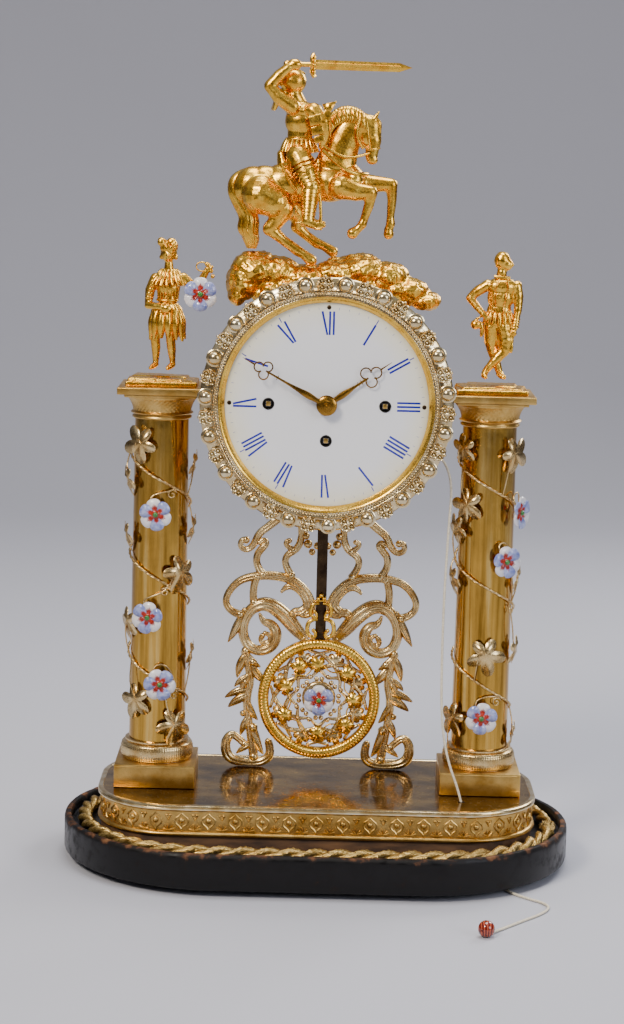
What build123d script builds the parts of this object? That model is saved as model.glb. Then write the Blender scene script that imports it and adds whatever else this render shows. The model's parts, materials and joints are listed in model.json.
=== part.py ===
from build123d import *
import math
import os

# Portico mantel clock: an ebonised wood base with a dome groove, a gilt platform, two columns
# with figures, and a round drum that holds a two-plate movement, carried by a scrolled frame.
# Millimetres. +X to the viewer's right, -Y towards the viewer, +Z up. The origin is on the
# table, under the middle of the base.

os.makedirs("parts", exist_ok=True)

# ---- driving dimensions -----------------------------------------------------------------
base_length = 310.0
base_depth = 192.0
foot_height = 4.0
foot_x = 97.0
foot_y = 60.0
foot_radius = 10.5
groove_floor = 19.0
rim_top = 26.0
rim_width = 4.5
base_top = 27.0
platform_half_length = 133.5
platform_half_depth = 62.5
platform_corner = 47.0
platform_wall = 5.0
platform_plate = 42.0
platform_top_z = 46.0
cord_hole = (88.5, -38.0)

column_x = 99.0
plinth_side = 49.0
plinth_top = 60.0
column_base_top = 73.0
shaft_top = 270.0
shaft_bottom_radius = 17.3
shaft_top_radius = 16.3
shaft_bore = 14.5
capital_top = 284.0
abacus_side = 51.0
abacus_top = 290.0
tie_rod_radius = 2.0
tie_rod_bore = 2.3

axis_z = 283.5
drum_radius = 66.0
drum_wall = 1.2
drum_front = -26.0
drum_back = 44.0
bezel_radius = 77.0
dial_radius = 60.9
dial_front = -31.5
dial_back = -29.5

plate_radius = 57.0
front_plate_face = -20.0
front_plate_back = -18.2
back_plate_front = 8.0
back_plate_face = 10.0
pivot_radius = 0.6
pivot_bore = 0.65
side_arbor_x = 34.5
going_arbor_z = -21.3
winding_radius = 1.75
winding_bore = 1.82

# going train: every pair's centre distance is module * (teeth + leaves) / 2
going_module = 2 * 21.3 / 80
centre_module = 0.42
third_module = 0.36
strike_module = 0.5
third_at = (-18.48 * math.sin(math.radians(30)), 18.48 * math.cos(math.radians(30)))
escape_at = (0.0, third_at[1] + math.sqrt(14.04 ** 2 - third_at[0] ** 2))
escape_radius = 11.0
pendulum_pivot = escape_at[1] + escape_radius * math.sqrt(2)
pin_offset = 18.0
pin_lean = math.radians(18)
pin_at = (side_arbor_x + pin_offset * math.sin(pin_lean), pin_offset * math.cos(pin_lean))
hammer_at = (50.0, -14.0)
lever_at = (44.0, -27.0)
minute_stud = 12.0

pendulum_y = 20.0
bob_z = 94.0
bob_radius = 38.0
cord_diameter = 1.5
rope_diameter = 8.0


# ---- helpers ----------------------------------------------------------------------------
def facing(y, x=0.0, z=0.0):
    """Plane that looks at the viewer: sketch x is +X, sketch y is +Z, extrusion goes forward."""
    return Plane(origin=(x, y, z), x_dir=(1, 0, 0), z_dir=(0, -1, 0))


def movement(y, at=(0.0, 0.0)):
    """The same plane, counted from the drum's axis."""
    return facing(y, at[0], axis_z + at[1])


def rod(at, radius, front, back, mode=Mode.ADD):
    """Round bar parallel to the drum's axis, between two depths."""
    with BuildSketch(movement(back, at)) as section:
        Circle(radius)
    extrude(section.sketch, amount=back - front, mode=mode)


def square_bar(at, side, front, back):
    with BuildSketch(movement(back, at)) as section:
        Rectangle(side, side)
    extrude(section.sketch, amount=back - front)


def toothed(at, teeth, module, front, back, phase=0.0, arms=0, hub=2.5):
    """Wheel or pinion. Tooth 0 is centred on the angle phase, in degrees from +X."""
    tip = module * (teeth / 2 + 0.55)
    root = module * (teeth / 2 - 0.85)
    points = []
    for tooth in range(teeth):
        middle = phase + 360.0 * tooth / teeth
        for radius, share in ((root, -0.27), (tip, -0.09), (tip, 0.09), (root, 0.27)):
            angle = math.radians(middle + 360.0 * share / teeth)
            points.append((radius * math.cos(angle), radius * math.sin(angle)))
    with BuildSketch(movement(back, at)) as section:
        with BuildLine():
            Polyline(*points, close=True)
        make_face()
        if arms:
            Circle(root - 1.6, mode=Mode.SUBTRACT)
            Circle(hub)
            with PolarLocations(0, arms):
                Rectangle(root - 0.8, 1.6, align=(Align.MIN, Align.CENTER))
    extrude(section.sketch, amount=back - front)


def bearing_of(start, end):
    """Direction from one arbor to another, in degrees."""
    return math.degrees(math.atan2(end[1] - start[1], end[0] - start[0]))


def limb(start, end, start_radius, end_radius):
    """Round limb with a ball at its far end."""
    axis = Vector(*end) - Vector(*start)
    with Locations(Plane(origin=start, z_dir=axis)):
        if abs(start_radius - end_radius) < 0.05:
            Cylinder(start_radius, axis.length, align=(Align.CENTER, Align.CENTER, Align.MIN))
        else:
            Cone(start_radius, end_radius, axis.length, align=(Align.CENTER, Align.CENTER, Align.MIN))
    ball(end, end_radius + 0.12)


def ball(centre, radius):
    with Locations(centre):
        Sphere(radius)


def route(points, radii_name):
    """Straight runs joined by the largest tangent arcs that the runs leave room for."""
    radii = []
    for before, corner, after in zip(points, points[1:], points[2:]):
        arriving = Vector(*corner) - Vector(*before)
        leaving = Vector(*after) - Vector(*corner)
        turn = math.radians(arriving.get_angle(leaving))
        radii.append(0.45 * min(arriving.length, leaving.length) / math.tan(turn / 2))
    print(radii_name, "arc radii:", [round(radius, 1) for radius in radii])
    return radii


def finish(piece, name):
    piece.part.label = name
    export_step(piece.part, "parts/" + name + ".step")


# ---- wood base, feet and rope -----------------------------------------------------------
with BuildPart() as wood_base:
    with BuildSketch(Plane.XY.offset(foot_height)):
        SlotOverall(base_length, base_depth)
    extrude(amount=groove_floor - foot_height)
    with BuildSketch(Plane.XY.offset(groove_floor)):
        SlotOverall(base_length, base_depth)
        SlotOverall(base_length - 2 * rim_width, base_depth - 2 * rim_width, mode=Mode.SUBTRACT)
    extrude(amount=rim_top - groove_floor)
    with BuildSketch(Plane.XY.offset(groove_floor)):
        RectangleRounded(2 * platform_half_length - 4, 2 * platform_half_depth - 4, platform_corner - 2)
    extrude(amount=base_top - groove_floor)
    fillet(wood_base.edges().filter_by_position(Axis.Z, rim_top - 0.01, rim_top + 0.01), radius=1.8)
    fillet(wood_base.edges().group_by(Axis.Z)[0], radius=1.5)
    with BuildSketch(Plane.XY.offset(foot_height)):
        with Locations((cord_hole[0] + 2.2, cord_hole[1] - 1.6)):
            Circle(5.0)
    extrude(amount=base_top - foot_height, mode=Mode.SUBTRACT)
finish(wood_base, "wood_base")

with BuildPart() as base_feet:
    with BuildSketch():
        with GridLocations(2 * foot_x, 2 * foot_y, 2, 2):
            Circle(foot_radius)
    extrude(amount=foot_height)
    fillet(base_feet.edges().group_by(Axis.Z)[0], radius=1.2)
finish(base_feet, "base_feet")

rope_route = [
    (143.5, -3.1, 23.0), (140.0, 24.3, 23.1), (122.3, 56.2, 23.0), (93.4, 77.3, 23.1),
    (46.0, 79.9, 23.0), (0.0, 80.5, 23.1), (-46.0, 79.9, 23.0), (-93.4, 77.3, 23.1),
    (-122.3, 56.2, 23.0), (-140.0, 24.3, 23.1), (-143.5, -3.1, 23.0), (-137.7, -31.0, 23.1),
    (-118.8, -59.9, 23.0), (-91.3, -77.7, 23.1), (-45.0, -79.8, 23.0), (1.0, -80.5, 23.1),
    (46.0, -79.7, 23.0), (92.4, -77.6, 23.1), (119.5, -59.2, 23.0), (136.9, -33.1, 23.1),
    (142.1, -16.1, 23.0),
]
with BuildPart() as rope_trim:
    with BuildLine():
        rope_path = FilletPolyline(*rope_route, radius=route(rope_route, "rope"))
    with BuildSketch(Plane(origin=rope_path @ 0, z_dir=rope_path % 0)):
        Circle(rope_diameter / 2)
    sweep()
finish(rope_trim, "rope_trim")

# ---- gilt platform ----------------------------------------------------------------------
with BuildPart() as platform_band:
    for low, high, inset in ((base_top, 30.0, 0.0), (30.0, platform_plate, 2.2)):
        with BuildSketch(Plane.XY.offset(low)):
            RectangleRounded(2 * (platform_half_length - inset), 2 * (platform_half_depth - inset),
                             platform_corner - inset)
            RectangleRounded(2 * (platform_half_length - platform_wall),
                             2 * (platform_half_depth - platform_wall),
                             platform_corner - platform_wall, mode=Mode.SUBTRACT)
        extrude(amount=high - low)
    fillet(platform_band.edges().group_by(Axis.Z)[0], radius=0.8)
finish(platform_band, "platform_band")

with BuildPart() as platform_top:
    with BuildSketch(Plane.XY.offset(platform_plate)):
        RectangleRounded(2 * platform_half_length, 2 * platform_half_depth, platform_corner)
    extrude(amount=platform_top_z - platform_plate)
    fillet(platform_top.edges().group_by(Axis.Z)[-1], radius=1.2)
    with BuildSketch(Plane.XY.offset(platform_plate)):
        with Locations(cord_hole):
            Circle(3.0)
        with Locations((-column_x, 0), (column_x, 0)):
            Circle(tie_rod_bore)
    extrude(amount=platform_top_z - platform_plate, mode=Mode.SUBTRACT)
finish(platform_top, "platform_top")

# ---- columns: the pieces are threaded on a tie rod, as beads on a string ------------------
with BuildPart() as plinth_blocks:
    with BuildSketch(Plane.XY.offset(platform_top_z)):
        with Locations((-column_x, 0), (column_x, 0)):
            Rectangle(plinth_side, plinth_side)
            Circle(tie_rod_bore, mode=Mode.SUBTRACT)
    extrude(amount=plinth_top - platform_top_z)
    chamfer(plinth_blocks.faces().filter_by(Axis.Z).group_by(Axis.Z)[-1].edges().filter_by(GeomType.LINE),
            length=0.8)
finish(plinth_blocks, "plinth_blocks")

with BuildPart() as column_bases:
    for x in (-column_x, column_x):
        with BuildSketch(Plane(origin=(x, 0, 0), x_dir=(1, 0, 0), z_dir=(0, -1, 0))):
            with BuildLine():
                Polyline((tie_rod_bore, plinth_top), (20.6, plinth_top), (20.6, plinth_top + 0.8))
                ThreePointArc((20.6, plinth_top + 0.8), (22.2, plinth_top + 5.6), (20.6, plinth_top + 10.4))
                Polyline((20.6, plinth_top + 10.4), (18.8, plinth_top + 11), (18.8, column_base_top),
                         (tie_rod_bore, column_base_top), (tie_rod_bore, plinth_top))
            make_face()
        revolve(axis=Axis((x, 0, 0), (0, 0, 1)))
finish(column_bases, "column_bases")

for side, x in (("left", -column_x), ("right", column_x)):
    with BuildPart() as column_shaft:
        with BuildSketch(Plane(origin=(x, 0, 0), x_dir=(1, 0, 0), z_dir=(0, -1, 0))):
            Polygon((shaft_bore, column_base_top), (shaft_bottom_radius, column_base_top),
                    (shaft_top_radius, shaft_top), (shaft_bore, shaft_top), align=None)
        revolve(axis=Axis((x, 0, 0), (0, 0, 1)))
    finish(column_shaft, "column_shaft_" + side)

with BuildPart() as capitals:
    for x in (-column_x, column_x):
        with BuildSketch(Plane(origin=(x, 0, 0), x_dir=(1, 0, 0), z_dir=(0, -1, 0))):
            with BuildLine():
                Polyline((tie_rod_bore, shaft_top), (17.6, shaft_top), (17.6, shaft_top + 2.5))
                ThreePointArc((17.6, shaft_top + 2.5), (18.4, shaft_top + 8), (22.6, capital_top - 1.5))
                Polyline((22.6, capital_top - 1.5), (22.6, capital_top), (tie_rod_bore, capital_top),
                         (tie_rod_bore, shaft_top))
            make_face()
        revolve(axis=Axis((x, 0, 0), (0, 0, 1)))
finish(capitals, "capitals")

nut_height = 2.5
with BuildPart() as abacus_plates:
    with BuildSketch(Plane.XY.offset(capital_top)):
        with Locations((-column_x, 0), (column_x, 0)):
            Rectangle(abacus_side, abacus_side)
            Circle(tie_rod_bore, mode=Mode.SUBTRACT)
    extrude(amount=abacus_top - capital_top)
    with BuildSketch(Plane.XY.offset(abacus_top - nut_height - 0.5)):
        with Locations((-column_x, 0), (column_x, 0)):
            Circle(5.4)
    extrude(amount=nut_height + 0.5, mode=Mode.SUBTRACT)
    fillet(abacus_plates.edges().filter_by(GeomType.LINE).group_by(Axis.Z)[0], radius=1.4)
finish(abacus_plates, "abacus_plates")

with BuildPart() as column_tie_rods:
    rod_low = platform_plate - nut_height
    rod_high = abacus_top - 0.5
    for x in (-column_x, column_x):
        with BuildSketch(Plane(origin=(x, 0, rod_low), x_dir=(1, 0, 0), z_dir=(0, 0, 1))):
            Circle(tie_rod_radius)
        extrude(amount=rod_high - rod_low)
        for nut_low in (rod_low, rod_high - nut_height):
            with BuildSketch(Plane(origin=(x, 0, nut_low), x_dir=(1, 0, 0), z_dir=(0, 0, 1))):
                RegularPolygon(4.4, 6)
            extrude(amount=nut_height)
finish(column_tie_rods, "column_tie_rods")

# ---- wire vines and porcelain flowers ----------------------------------------------------
wire_radius = 0.8
vine_radius = shaft_bottom_radius + 0.35 + wire_radius
vine_pitch = 61.0
leaf_places = {
    "left": ((256, -38), (178, 45), (99, -34), (84, 37), (233, -52), (243, 88), (204, 84), (146, -51)),
    "right": ((255, 52), (224, -36), (133, 3), (91, -61), (209, -56), (178, 88), (134, 72), (82, 88)),
}
flower_places = {
    "left": ((214, -4), (151, -14), (110, 6)),
    "right": ((219, 48), (190, 33), (94, -1)),
}


def on_column(x, height, angle, distance):
    """Plane that faces straight out of a column, angle degrees to the right of its front."""
    turn = math.radians(angle)
    outward = (math.sin(turn), -math.cos(turn), 0)
    return Plane(origin=(x + distance * outward[0], distance * outward[1], height),
                 x_dir=(math.cos(turn), math.sin(turn), 0), z_dir=outward)


for side, x, start_angle in (("left", -column_x, -150.0), ("right", column_x, -150.0)):
    step = 45
    corner_radius = vine_radius / math.cos(math.radians(step / 2))
    vine_route = []
    for corner in range(23):
        turn = math.radians(start_angle + step * corner)
        vine_route.append((x + corner_radius * math.sin(turn), -corner_radius * math.cos(turn),
                           260.0 - vine_pitch * step * corner / 360))
    with BuildPart() as vine:
        with BuildLine():
            vine_path = FilletPolyline(*vine_route, radius=route(vine_route, "vine_" + side))
        with BuildSketch(Plane(origin=vine_path @ 0, z_dir=vine_path % 0)):
            Circle(wire_radius)
        sweep()
        for height, angle in leaf_places[side]:
            with BuildSketch(on_column(x, height, angle, vine_radius + 1.6)):
                RegularPolygon(9.0, 5)
            extrude(amount=0.8)
    finish(vine, "vine_" + side)

with BuildPart() as porcelain_flowers:
    for side, x in (("left", -column_x), ("right", column_x)):
        for height, angle in flower_places[side]:
            with BuildSketch(on_column(x, height, angle, vine_radius + 3.0)):
                Circle(4.0)
            with BuildSketch(on_column(x, height, angle, vine_radius + 6.5)):
                Circle(9.8)
            loft()
    with BuildSketch(facing(-4.0, -77.0, 345.0)):
        Circle(4.0)
    with BuildSketch(facing(-7.5, -77.0, 345.0)):
        Circle(9.8)
    loft()
finish(porcelain_flowers, "porcelain_flowers")

# ---- gilt figures on rocky bases ----------------------------------------------------------
figure_floor = abacus_top + 6.0


def rocky_foot(x):
    with BuildSketch(Plane(origin=(x, 0, abacus_top), x_dir=(1, 0, 0), z_dir=(0, 0, 1))) as low:
        Rectangle(44, 36)
        chamfer(low.vertices(), length=9)
    extrude(low.sketch, amount=figure_floor - abacus_top, taper=12)


with BuildPart() as figure_left:
    rocky_foot(-column_x)
    for sole_x, hip_x in ((-104, -101), (-88, -94)):
        limb((sole_x, -2, figure_floor - 2), (sole_x + 1, 0, 308), 3.2, 3.4)
        limb((sole_x + 1, 0, 308), (hip_x, 0, 326), 3.4, 5.5)
    limb((-98, 0, 314), (-97.5, 0, 335), 9.5, 7.0)
    limb((-97.5, 0, 335), (-97, 0, 350), 7.0, 8.5)
    limb((-97, 0, 353), (-97, 0, 361), 3.2, 3.0)
    ball((-97, -0.5, 366), 5.6)
    limb((-97, 0, 369), (-97, 0, 376), 5.6, 3.0)
    limb((-106, 0, 352), (-109, -2, 338), 3.2, 2.6)
    limb((-109, -2, 338), (-98, -8, 334), 2.6, 2.2)
    limb((-90, 0, 353), (-81, -2, 356), 3.4, 2.6)
    limb((-81, -2, 356), (-71, -3, 361), 2.6, 2.2)
    ball((-69, -3, 363), 3.2)
finish(figure_left, "figure_left")

with BuildPart() as figure_right:
    rocky_foot(column_x)
    for sole_x, knee_x, hip_x in ((97, 103, 101), (111, 104, 105)):
        limb((sole_x, -2, figure_floor - 2), (knee_x, 0, 311), 3.2, 3.6)
        limb((knee_x, 0, 311), (hip_x, 0, 328), 3.6, 5.6)
    limb((103, 0, 324), (102.5, 0, 334), 8.0, 6.4)
    limb((102.5, 0, 334), (101, 0, 350), 6.4, 8.6)
    limb((101, 0, 353), (101.5, 0, 361), 3.2, 3.0)
    ball((102, 0, 366), 5.6)
    limb((102, 0, 368), (102, 0, 374), 5.4, 2.4)
    limb((93, 0, 354), (86, 0, 345), 3.2, 2.8)
    limb((86, 0, 345), (94, -3, 334), 2.8, 2.2)
    limb((109, 0, 353), (114, -2, 340), 3.2, 2.6)
    limb((114, -2, 340), (118, -5, 328), 2.6, 2.0)
    limb((118, -5, 330), (121, -7, 306), 1.4, 1.4)
finish(figure_right, "figure_right")

# ---- scrolled support frame and the saddle under the drum ---------------------------------
frame_back = 38.0
frame_depth = 6.0
saddle_low = 211.0
with BuildPart() as support_frame:
    with BuildSketch(facing(frame_back)):
        with BuildLine() as scrolls:
            ThreePointArc((38, 49), (56, 57), (41, 68))
            ThreePointArc((41, 68), (46, 92), (40, 117))
            ThreePointArc((40, 117), (58, 140), (44, 168))
            ThreePointArc((40, 117), (28, 136), (44, 146))
            ThreePointArc((44, 168), (22, 166), (0, 153))
            ThreePointArc((44, 168), (53, 186), (34, 196))
            ThreePointArc((34, 196), (18, 200), (14, 209))
            ThreePointArc((22, 163), (24, 180), (14, 184))
        trace(line_width=5)
        with Locations((42, 48)):
            Rectangle(12, 4)
        with Locations((0, 208.5)):
            Rectangle(44, 5)
        mirror(about=Plane.YZ)
        with Locations((0, platform_top_z - 10)):
            Rectangle(4 * column_x, 20, mode=Mode.SUBTRACT)
    extrude(amount=frame_depth)
finish(support_frame, "support_frame")

with BuildPart() as drum_bracket:
    with BuildSketch(facing(frame_back + 2)):
        with Locations((0, saddle_low + 6)):
            Rectangle(44, 12)
    extrude(amount=frame_depth + 4)
    with BuildSketch(movement(frame_back + 2)):
        Circle(drum_radius)
    extrude(amount=frame_depth + 4, mode=Mode.SUBTRACT)
finish(drum_bracket, "drum_bracket")

# ---- drum, bezel, dial, rear door ---------------------------------------------------------
drum_inner = drum_radius - drum_wall
hinge_x = 69.5
hinge_y = 46.6
knuckle_radius = 2.6
pin_radius = 1.2
slot_half_width = 11.5
cord_exit_angle = math.radians(-23.2)
cord_exit_y = -12.0
eyelet_radius = 1.7

with BuildPart() as drum_case:
    with BuildSketch(movement(drum_back)):
        Circle(drum_radius)
        Circle(drum_inner, mode=Mode.SUBTRACT)
    extrude(amount=drum_back - drum_front)
    with BuildSketch(Plane.XY.offset(axis_z - drum_radius - 2)):
        with Locations((0, pendulum_y)):
            Rectangle(2 * slot_half_width, 7)
    extrude(amount=12, mode=Mode.SUBTRACT)
    exit_direction = (math.cos(cord_exit_angle), 0, math.sin(cord_exit_angle))
    with BuildSketch(Plane(origin=(0, cord_exit_y, axis_z), z_dir=exit_direction)):
        Circle(eyelet_radius)
    extrude(amount=drum_radius + 2, mode=Mode.SUBTRACT)
    # three lugs that the movement's front plate is screwed to
    for lug_angle in (90, 215, 325):
        with BuildSketch(movement(front_plate_back + 2.0)):
            Circle(drum_inner + 0.4)
            Circle(55.5, mode=Mode.SUBTRACT)
            with Locations(Rotation(0, 0, lug_angle) * Pos(60, 0)):
                Rectangle(14, 9, mode=Mode.INTERSECT)
        extrude(amount=2.0)
    for low in (-15.0, 7.3):
        with BuildSketch(Plane(origin=(hinge_x, hinge_y, axis_z + low), z_dir=(0, 0, 1))):
            Circle(knuckle_radius)
            with Locations((-4.2, -4.2)):
                Rectangle(7.6, 2.4)
            with Locations((-1.6, -2.0)):
                Rectangle(2.0, 4.0)
        extrude(amount=7.7)
        with BuildSketch(Plane(origin=(hinge_x, hinge_y, axis_z + low), z_dir=(0, 0, 1))):
            Circle(pin_radius)
        extrude(amount=7.7, mode=Mode.SUBTRACT)
finish(drum_case, "drum_case")

door_front = drum_back + 0.3
door_back = drum_back + 1.8
with BuildPart() as rear_door:
    with BuildSketch(movement(door_back)):
        Circle(drum_radius - 0.4)
    extrude(amount=door_back - door_front)
    with BuildSketch(Plane(origin=(hinge_x, hinge_y, axis_z - 7.0), z_dir=(0, 0, 1))):
        Circle(knuckle_radius)
        with Locations((-4.5, -1.3)):
            Rectangle(9.0, 1.5)
        Circle(pin_radius + 0.06, mode=Mode.SUBTRACT)
    extrude(amount=14.0)
    rod((-52.0, 0.0), 2.5, door_back, door_back + 4.0)
finish(rear_door, "rear_door")

with BuildPart() as door_hinge_pin:
    with BuildSketch(Plane(origin=(hinge_x, hinge_y, axis_z - 15.0), z_dir=(0, 0, 1))):
        Circle(pin_radius)
    extrude(amount=30.0)
finish(door_hinge_pin, "door_hinge_pin")

bead_count = 19
bead_orbit = 71.5
bead_radius = 4.5
with BuildPart() as bezel:
    with BuildSketch(Plane(origin=(0, 0, axis_z), x_dir=(1, 0, 0), z_dir=(0, 0, 1))):
        Polygon((60.5, -32.2), (63.5, -36.0), (65.0, -36.4), (68.0, -36.4), (75.5, -35.5), (77.0, -33.5),
                (77.0, -30.0), (74.0, -27.0), (74.0, drum_front), (61.2, drum_front), (61.2, -31.6),
                (60.5, -31.6), align=None)
    revolve(axis=Axis((0, 0, axis_z), (0, 1, 0)))
    for bead in range(bead_count):
        turn = math.radians(90 - 7.4 - 360 * bead / bead_count)
        ball((bead_orbit * math.cos(turn), -35.4, axis_z + bead_orbit * math.sin(turn)), bead_radius)
finish(bezel, "bezel")

winding_places = ((-side_arbor_x, 0.0), (side_arbor_x, 0.0), (0.0, going_arbor_z))
with BuildPart() as dial:
    rod((0, 0), dial_radius, dial_front, dial_back)
    rod((0, 0), 3.2, dial_front, dial_back, mode=Mode.SUBTRACT)
    for place in winding_places:
        rod(place, 3.5, dial_front, dial_back, mode=Mode.SUBTRACT)
    for foot_angle in (60, 180, 300):
        foot = (50 * math.cos(math.radians(foot_angle)), 50 * math.sin(math.radians(foot_angle)))
        rod(foot, 1.5, dial_back, front_plate_face)
finish(dial, "dial")

# ---- movement frame -----------------------------------------------------------------------
strike_arbors = [(sign * pin_at[0], pin_at[1]) for sign in (-1, 1)]
hammer_arbors = [(sign * hammer_at[0], hammer_at[1]) for sign in (-1, 1)]
anchor_at = (0.0, pendulum_pivot)
pillar_at = 38.5

with BuildPart() as front_plate:
    rod((0, 0), plate_radius, front_plate_face, front_plate_back)
    rod((0, 0), 1.3, front_plate_face, front_plate_back, mode=Mode.SUBTRACT)
    for place in winding_places:
        rod(place, winding_bore, front_plate_face, front_plate_back, mode=Mode.SUBTRACT)
    for place in [third_at, escape_at, anchor_at] + strike_arbors + hammer_arbors:
        rod(place, pivot_bore, front_plate_face, front_plate_back, mode=Mode.SUBTRACT)
    rod((0.0, minute_stud), 0.75, -26.2, front_plate_face)
finish(front_plate, "front_plate")

with BuildPart() as back_plate:
    rod((0, 0), plate_radius, back_plate_front, back_plate_face)
    for place in winding_places:
        rod(place, 1.1, back_plate_front, back_plate_face, mode=Mode.SUBTRACT)
    for place in [(0.0, 0.0), third_at, escape_at] + strike_arbors:
        rod(place, pivot_bore, back_plate_front, back_plate_face, mode=Mode.SUBTRACT)
    for place in hammer_arbors:
        rod(place, 1.06, back_plate_front, back_plate_face, mode=Mode.SUBTRACT)
    rod(anchor_at, 2.2, back_plate_front, back_plate_face, mode=Mode.SUBTRACT)
    rod(lever_at, 1.0, -14.0, back_plate_front)
finish(back_plate, "back_plate")

with BuildPart() as plate_pillars:
    for sign_x in (-1, 1):
        for sign_z in (-1, 1):
            place = (sign_x * pillar_at, sign_z * pillar_at)
            rod(place, 3.0, front_plate_back, back_plate_front)
finish(plate_pillars, "plate_pillars")

# ---- barrels with their mainsprings, and the winding arbors --------------------------------
great_front = 3.0
great_back = 5.0
spring_turns = 5


def mainspring(at, start_radius, end_radius, front, back):
    """Flat strip wound in a spiral, clear of the barrel and of the arbor."""
    strip = 0.7
    steps = spring_turns * 12
    inner = []
    outer = []
    for step in range(steps + 1):
        turn = math.radians(30.0 * step)
        radius = start_radius + (end_radius - start_radius) * step / steps
        inner.append((radius * math.cos(turn), radius * math.sin(turn)))
        outer.append(((radius + strip) * math.cos(turn), (radius + strip) * math.sin(turn)))
    with BuildSketch(movement(back, at)) as section:
        with BuildLine():
            Polyline(*(inner + outer[::-1]), close=True)
        make_face()
    extrude(section.sketch, amount=back - front)


def barrel(at, radius, front, back, teeth, module, phase):
    rod(at, radius, front, back)
    rod(at, radius - 1.0, front + 1.0, back - 1.0, mode=Mode.SUBTRACT)
    rod(at, 3.2, back, great_back)
    toothed(at, teeth, module, great_front, great_back, phase, arms=6, hub=4.0)
    rod(at, winding_bore, front - 1, great_back + 1, mode=Mode.SUBTRACT)
    mainspring(at, 5.0, radius - 3.0, front + 1.5, back - 1.5)


barrels = (
    ("going", winding_places[2], 17.0, -13.0, 0.0, 72, going_module, (0.0, 0.0)),
    ("hour", winding_places[0], 15.2, -16.0, -6.0, 64, strike_module, strike_arbors[0]),
    ("quarter", winding_places[1], 15.2, -16.0, -6.0, 64, strike_module, strike_arbors[1]),
)
for name, place, radius, front, back, teeth, module, partner in barrels:
    with BuildPart() as barrel_part:
        barrel(place, radius, front, back, teeth, module, bearing_of(place, partner))
    finish(barrel_part, name + "_barrel")
    with BuildPart() as winding_arbor:
        rod(place, winding_radius, -24.0, back_plate_front - 0.2)
        rod(place, 1.0, back_plate_front - 0.2, back_plate_face)
        square_bar(place, 3.2, -31.8, -24.0)
        rod(place, 6.0, front_plate_face - 2.4, front_plate_face - 1.0)
        rod(place, 3.2, front + 1.6, back - 1.6)
    finish(winding_arbor, name + "_winding_arbor")

# ---- going train ----------------------------------------------------------------------------
with BuildPart() as centre_wheel:
    rod((0, 0), 1.2, -24.0, back_plate_front - 0.2)
    rod((0, 0), 0.9, -40.0, -24.0)
    rod((0, 0), pivot_radius, back_plate_front - 0.2, back_plate_face)
    toothed((0, 0), 80, centre_module, -15.6, -14.4, bearing_of((0, 0), third_at), arms=5)
    toothed((0, 0), 8, going_module, 2.0, 6.0, -90 + 22.5)
finish(centre_wheel, "centre_wheel")

with BuildPart() as cannon_pinion:
    rod((0, 0), 1.6, -38.5, -24.2)
    toothed((0, 0), 12, strike_module, -24.2, -21.6, 90)
    rod((0, 0), 0.9, -38.5, -24.0, mode=Mode.SUBTRACT)
    rod((0, 0), 1.2, -24.0, -21.6, mode=Mode.SUBTRACT)
finish(cannon_pinion, "cannon_pinion")

with BuildPart() as third_wheel:
    rod(third_at, 0.9, front_plate_back + 0.2, back_plate_front - 0.2)
    rod(third_at, pivot_radius, front_plate_face, back_plate_face)
    toothed(third_at, 8, centre_module, -17.2, -13.0, bearing_of(third_at, (0, 0)) + 22.5)
    toothed(third_at, 72, third_module, -10.0, -9.0, bearing_of(third_at, escape_at), arms=5, hub=2.0)
finish(third_wheel, "third_wheel")

escape_teeth = 30
with BuildPart() as escape_wheel:
    rod(escape_at, 0.7, front_plate_back + 0.2, back_plate_front - 0.2)
    rod(escape_at, pivot_radius, front_plate_face, back_plate_face)
    toothed(escape_at, 6, third_module, -12.0, -7.0, bearing_of(escape_at, third_at) + 30)
    escape_points = []
    for tooth in range(escape_teeth):
        for radius, share in ((escape_radius - 2.0, 0.0), (escape_radius, 0.62), (escape_radius, 0.74),
                              (escape_radius - 2.0, 0.8)):
            turn = math.radians(360.0 * (tooth + share) / escape_teeth)
            escape_points.append((radius * math.cos(turn), radius * math.sin(turn)))
    with BuildSketch(movement(-2.0, escape_at)):
        with BuildLine():
            Polyline(*escape_points, close=True)
        make_face()
        Circle(escape_radius - 3.2, mode=Mode.SUBTRACT)
        Circle(2.0)
        with PolarLocations(0, 5):
            Rectangle(escape_radius - 2.6, 1.2, align=(Align.MIN, Align.CENTER))
    extrude(amount=1.0)
finish(escape_wheel, "escape_wheel")

# recoil anchor: two arms reach down to the escape wheel, and the crutch swings behind
crutch_length = 30.0
with BuildPart() as pallet_anchor:
    rod(anchor_at, 1.0, front_plate_back + 0.2, 11.0)
    rod(anchor_at, pivot_radius, front_plate_face, 15.4)
    with BuildSketch(movement(-1.2, anchor_at)):
        Circle(2.6)
        with BuildLine():
            Polyline((-2.4, 1.0), (-11.4, -7.0), (-9.7, -7.6), (0, -1.8), (9.7, -7.6), (11.4, -7.0),
                     (2.4, 1.0), close=True)
        make_face()
    extrude(amount=2.6)
    with BuildSketch(movement(12.5, anchor_at)):
        Circle(2.4)
        with Locations((0, -crutch_length / 2)):
            Rectangle(2.4, crutch_length)
    extrude(amount=1.5)
    rod((0, pendulum_pivot - crutch_length + 1), 1.0, 11.0, pendulum_y + 2.0)
finish(pallet_anchor, "pallet_anchor")

# ---- motion work ------------------------------------------------------------------------------
with BuildPart() as minute_wheel:
    toothed((0, minute_stud), 36, strike_module, -22.8, -21.8, -90 + 5, arms=4, hub=2.2)
    toothed((0, minute_stud), 10, 0.48, -26.0, -22.8, -90)
    rod((0, minute_stud), 0.81, -27.0, -21.0, mode=Mode.SUBTRACT)
finish(minute_wheel, "minute_wheel")

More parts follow.
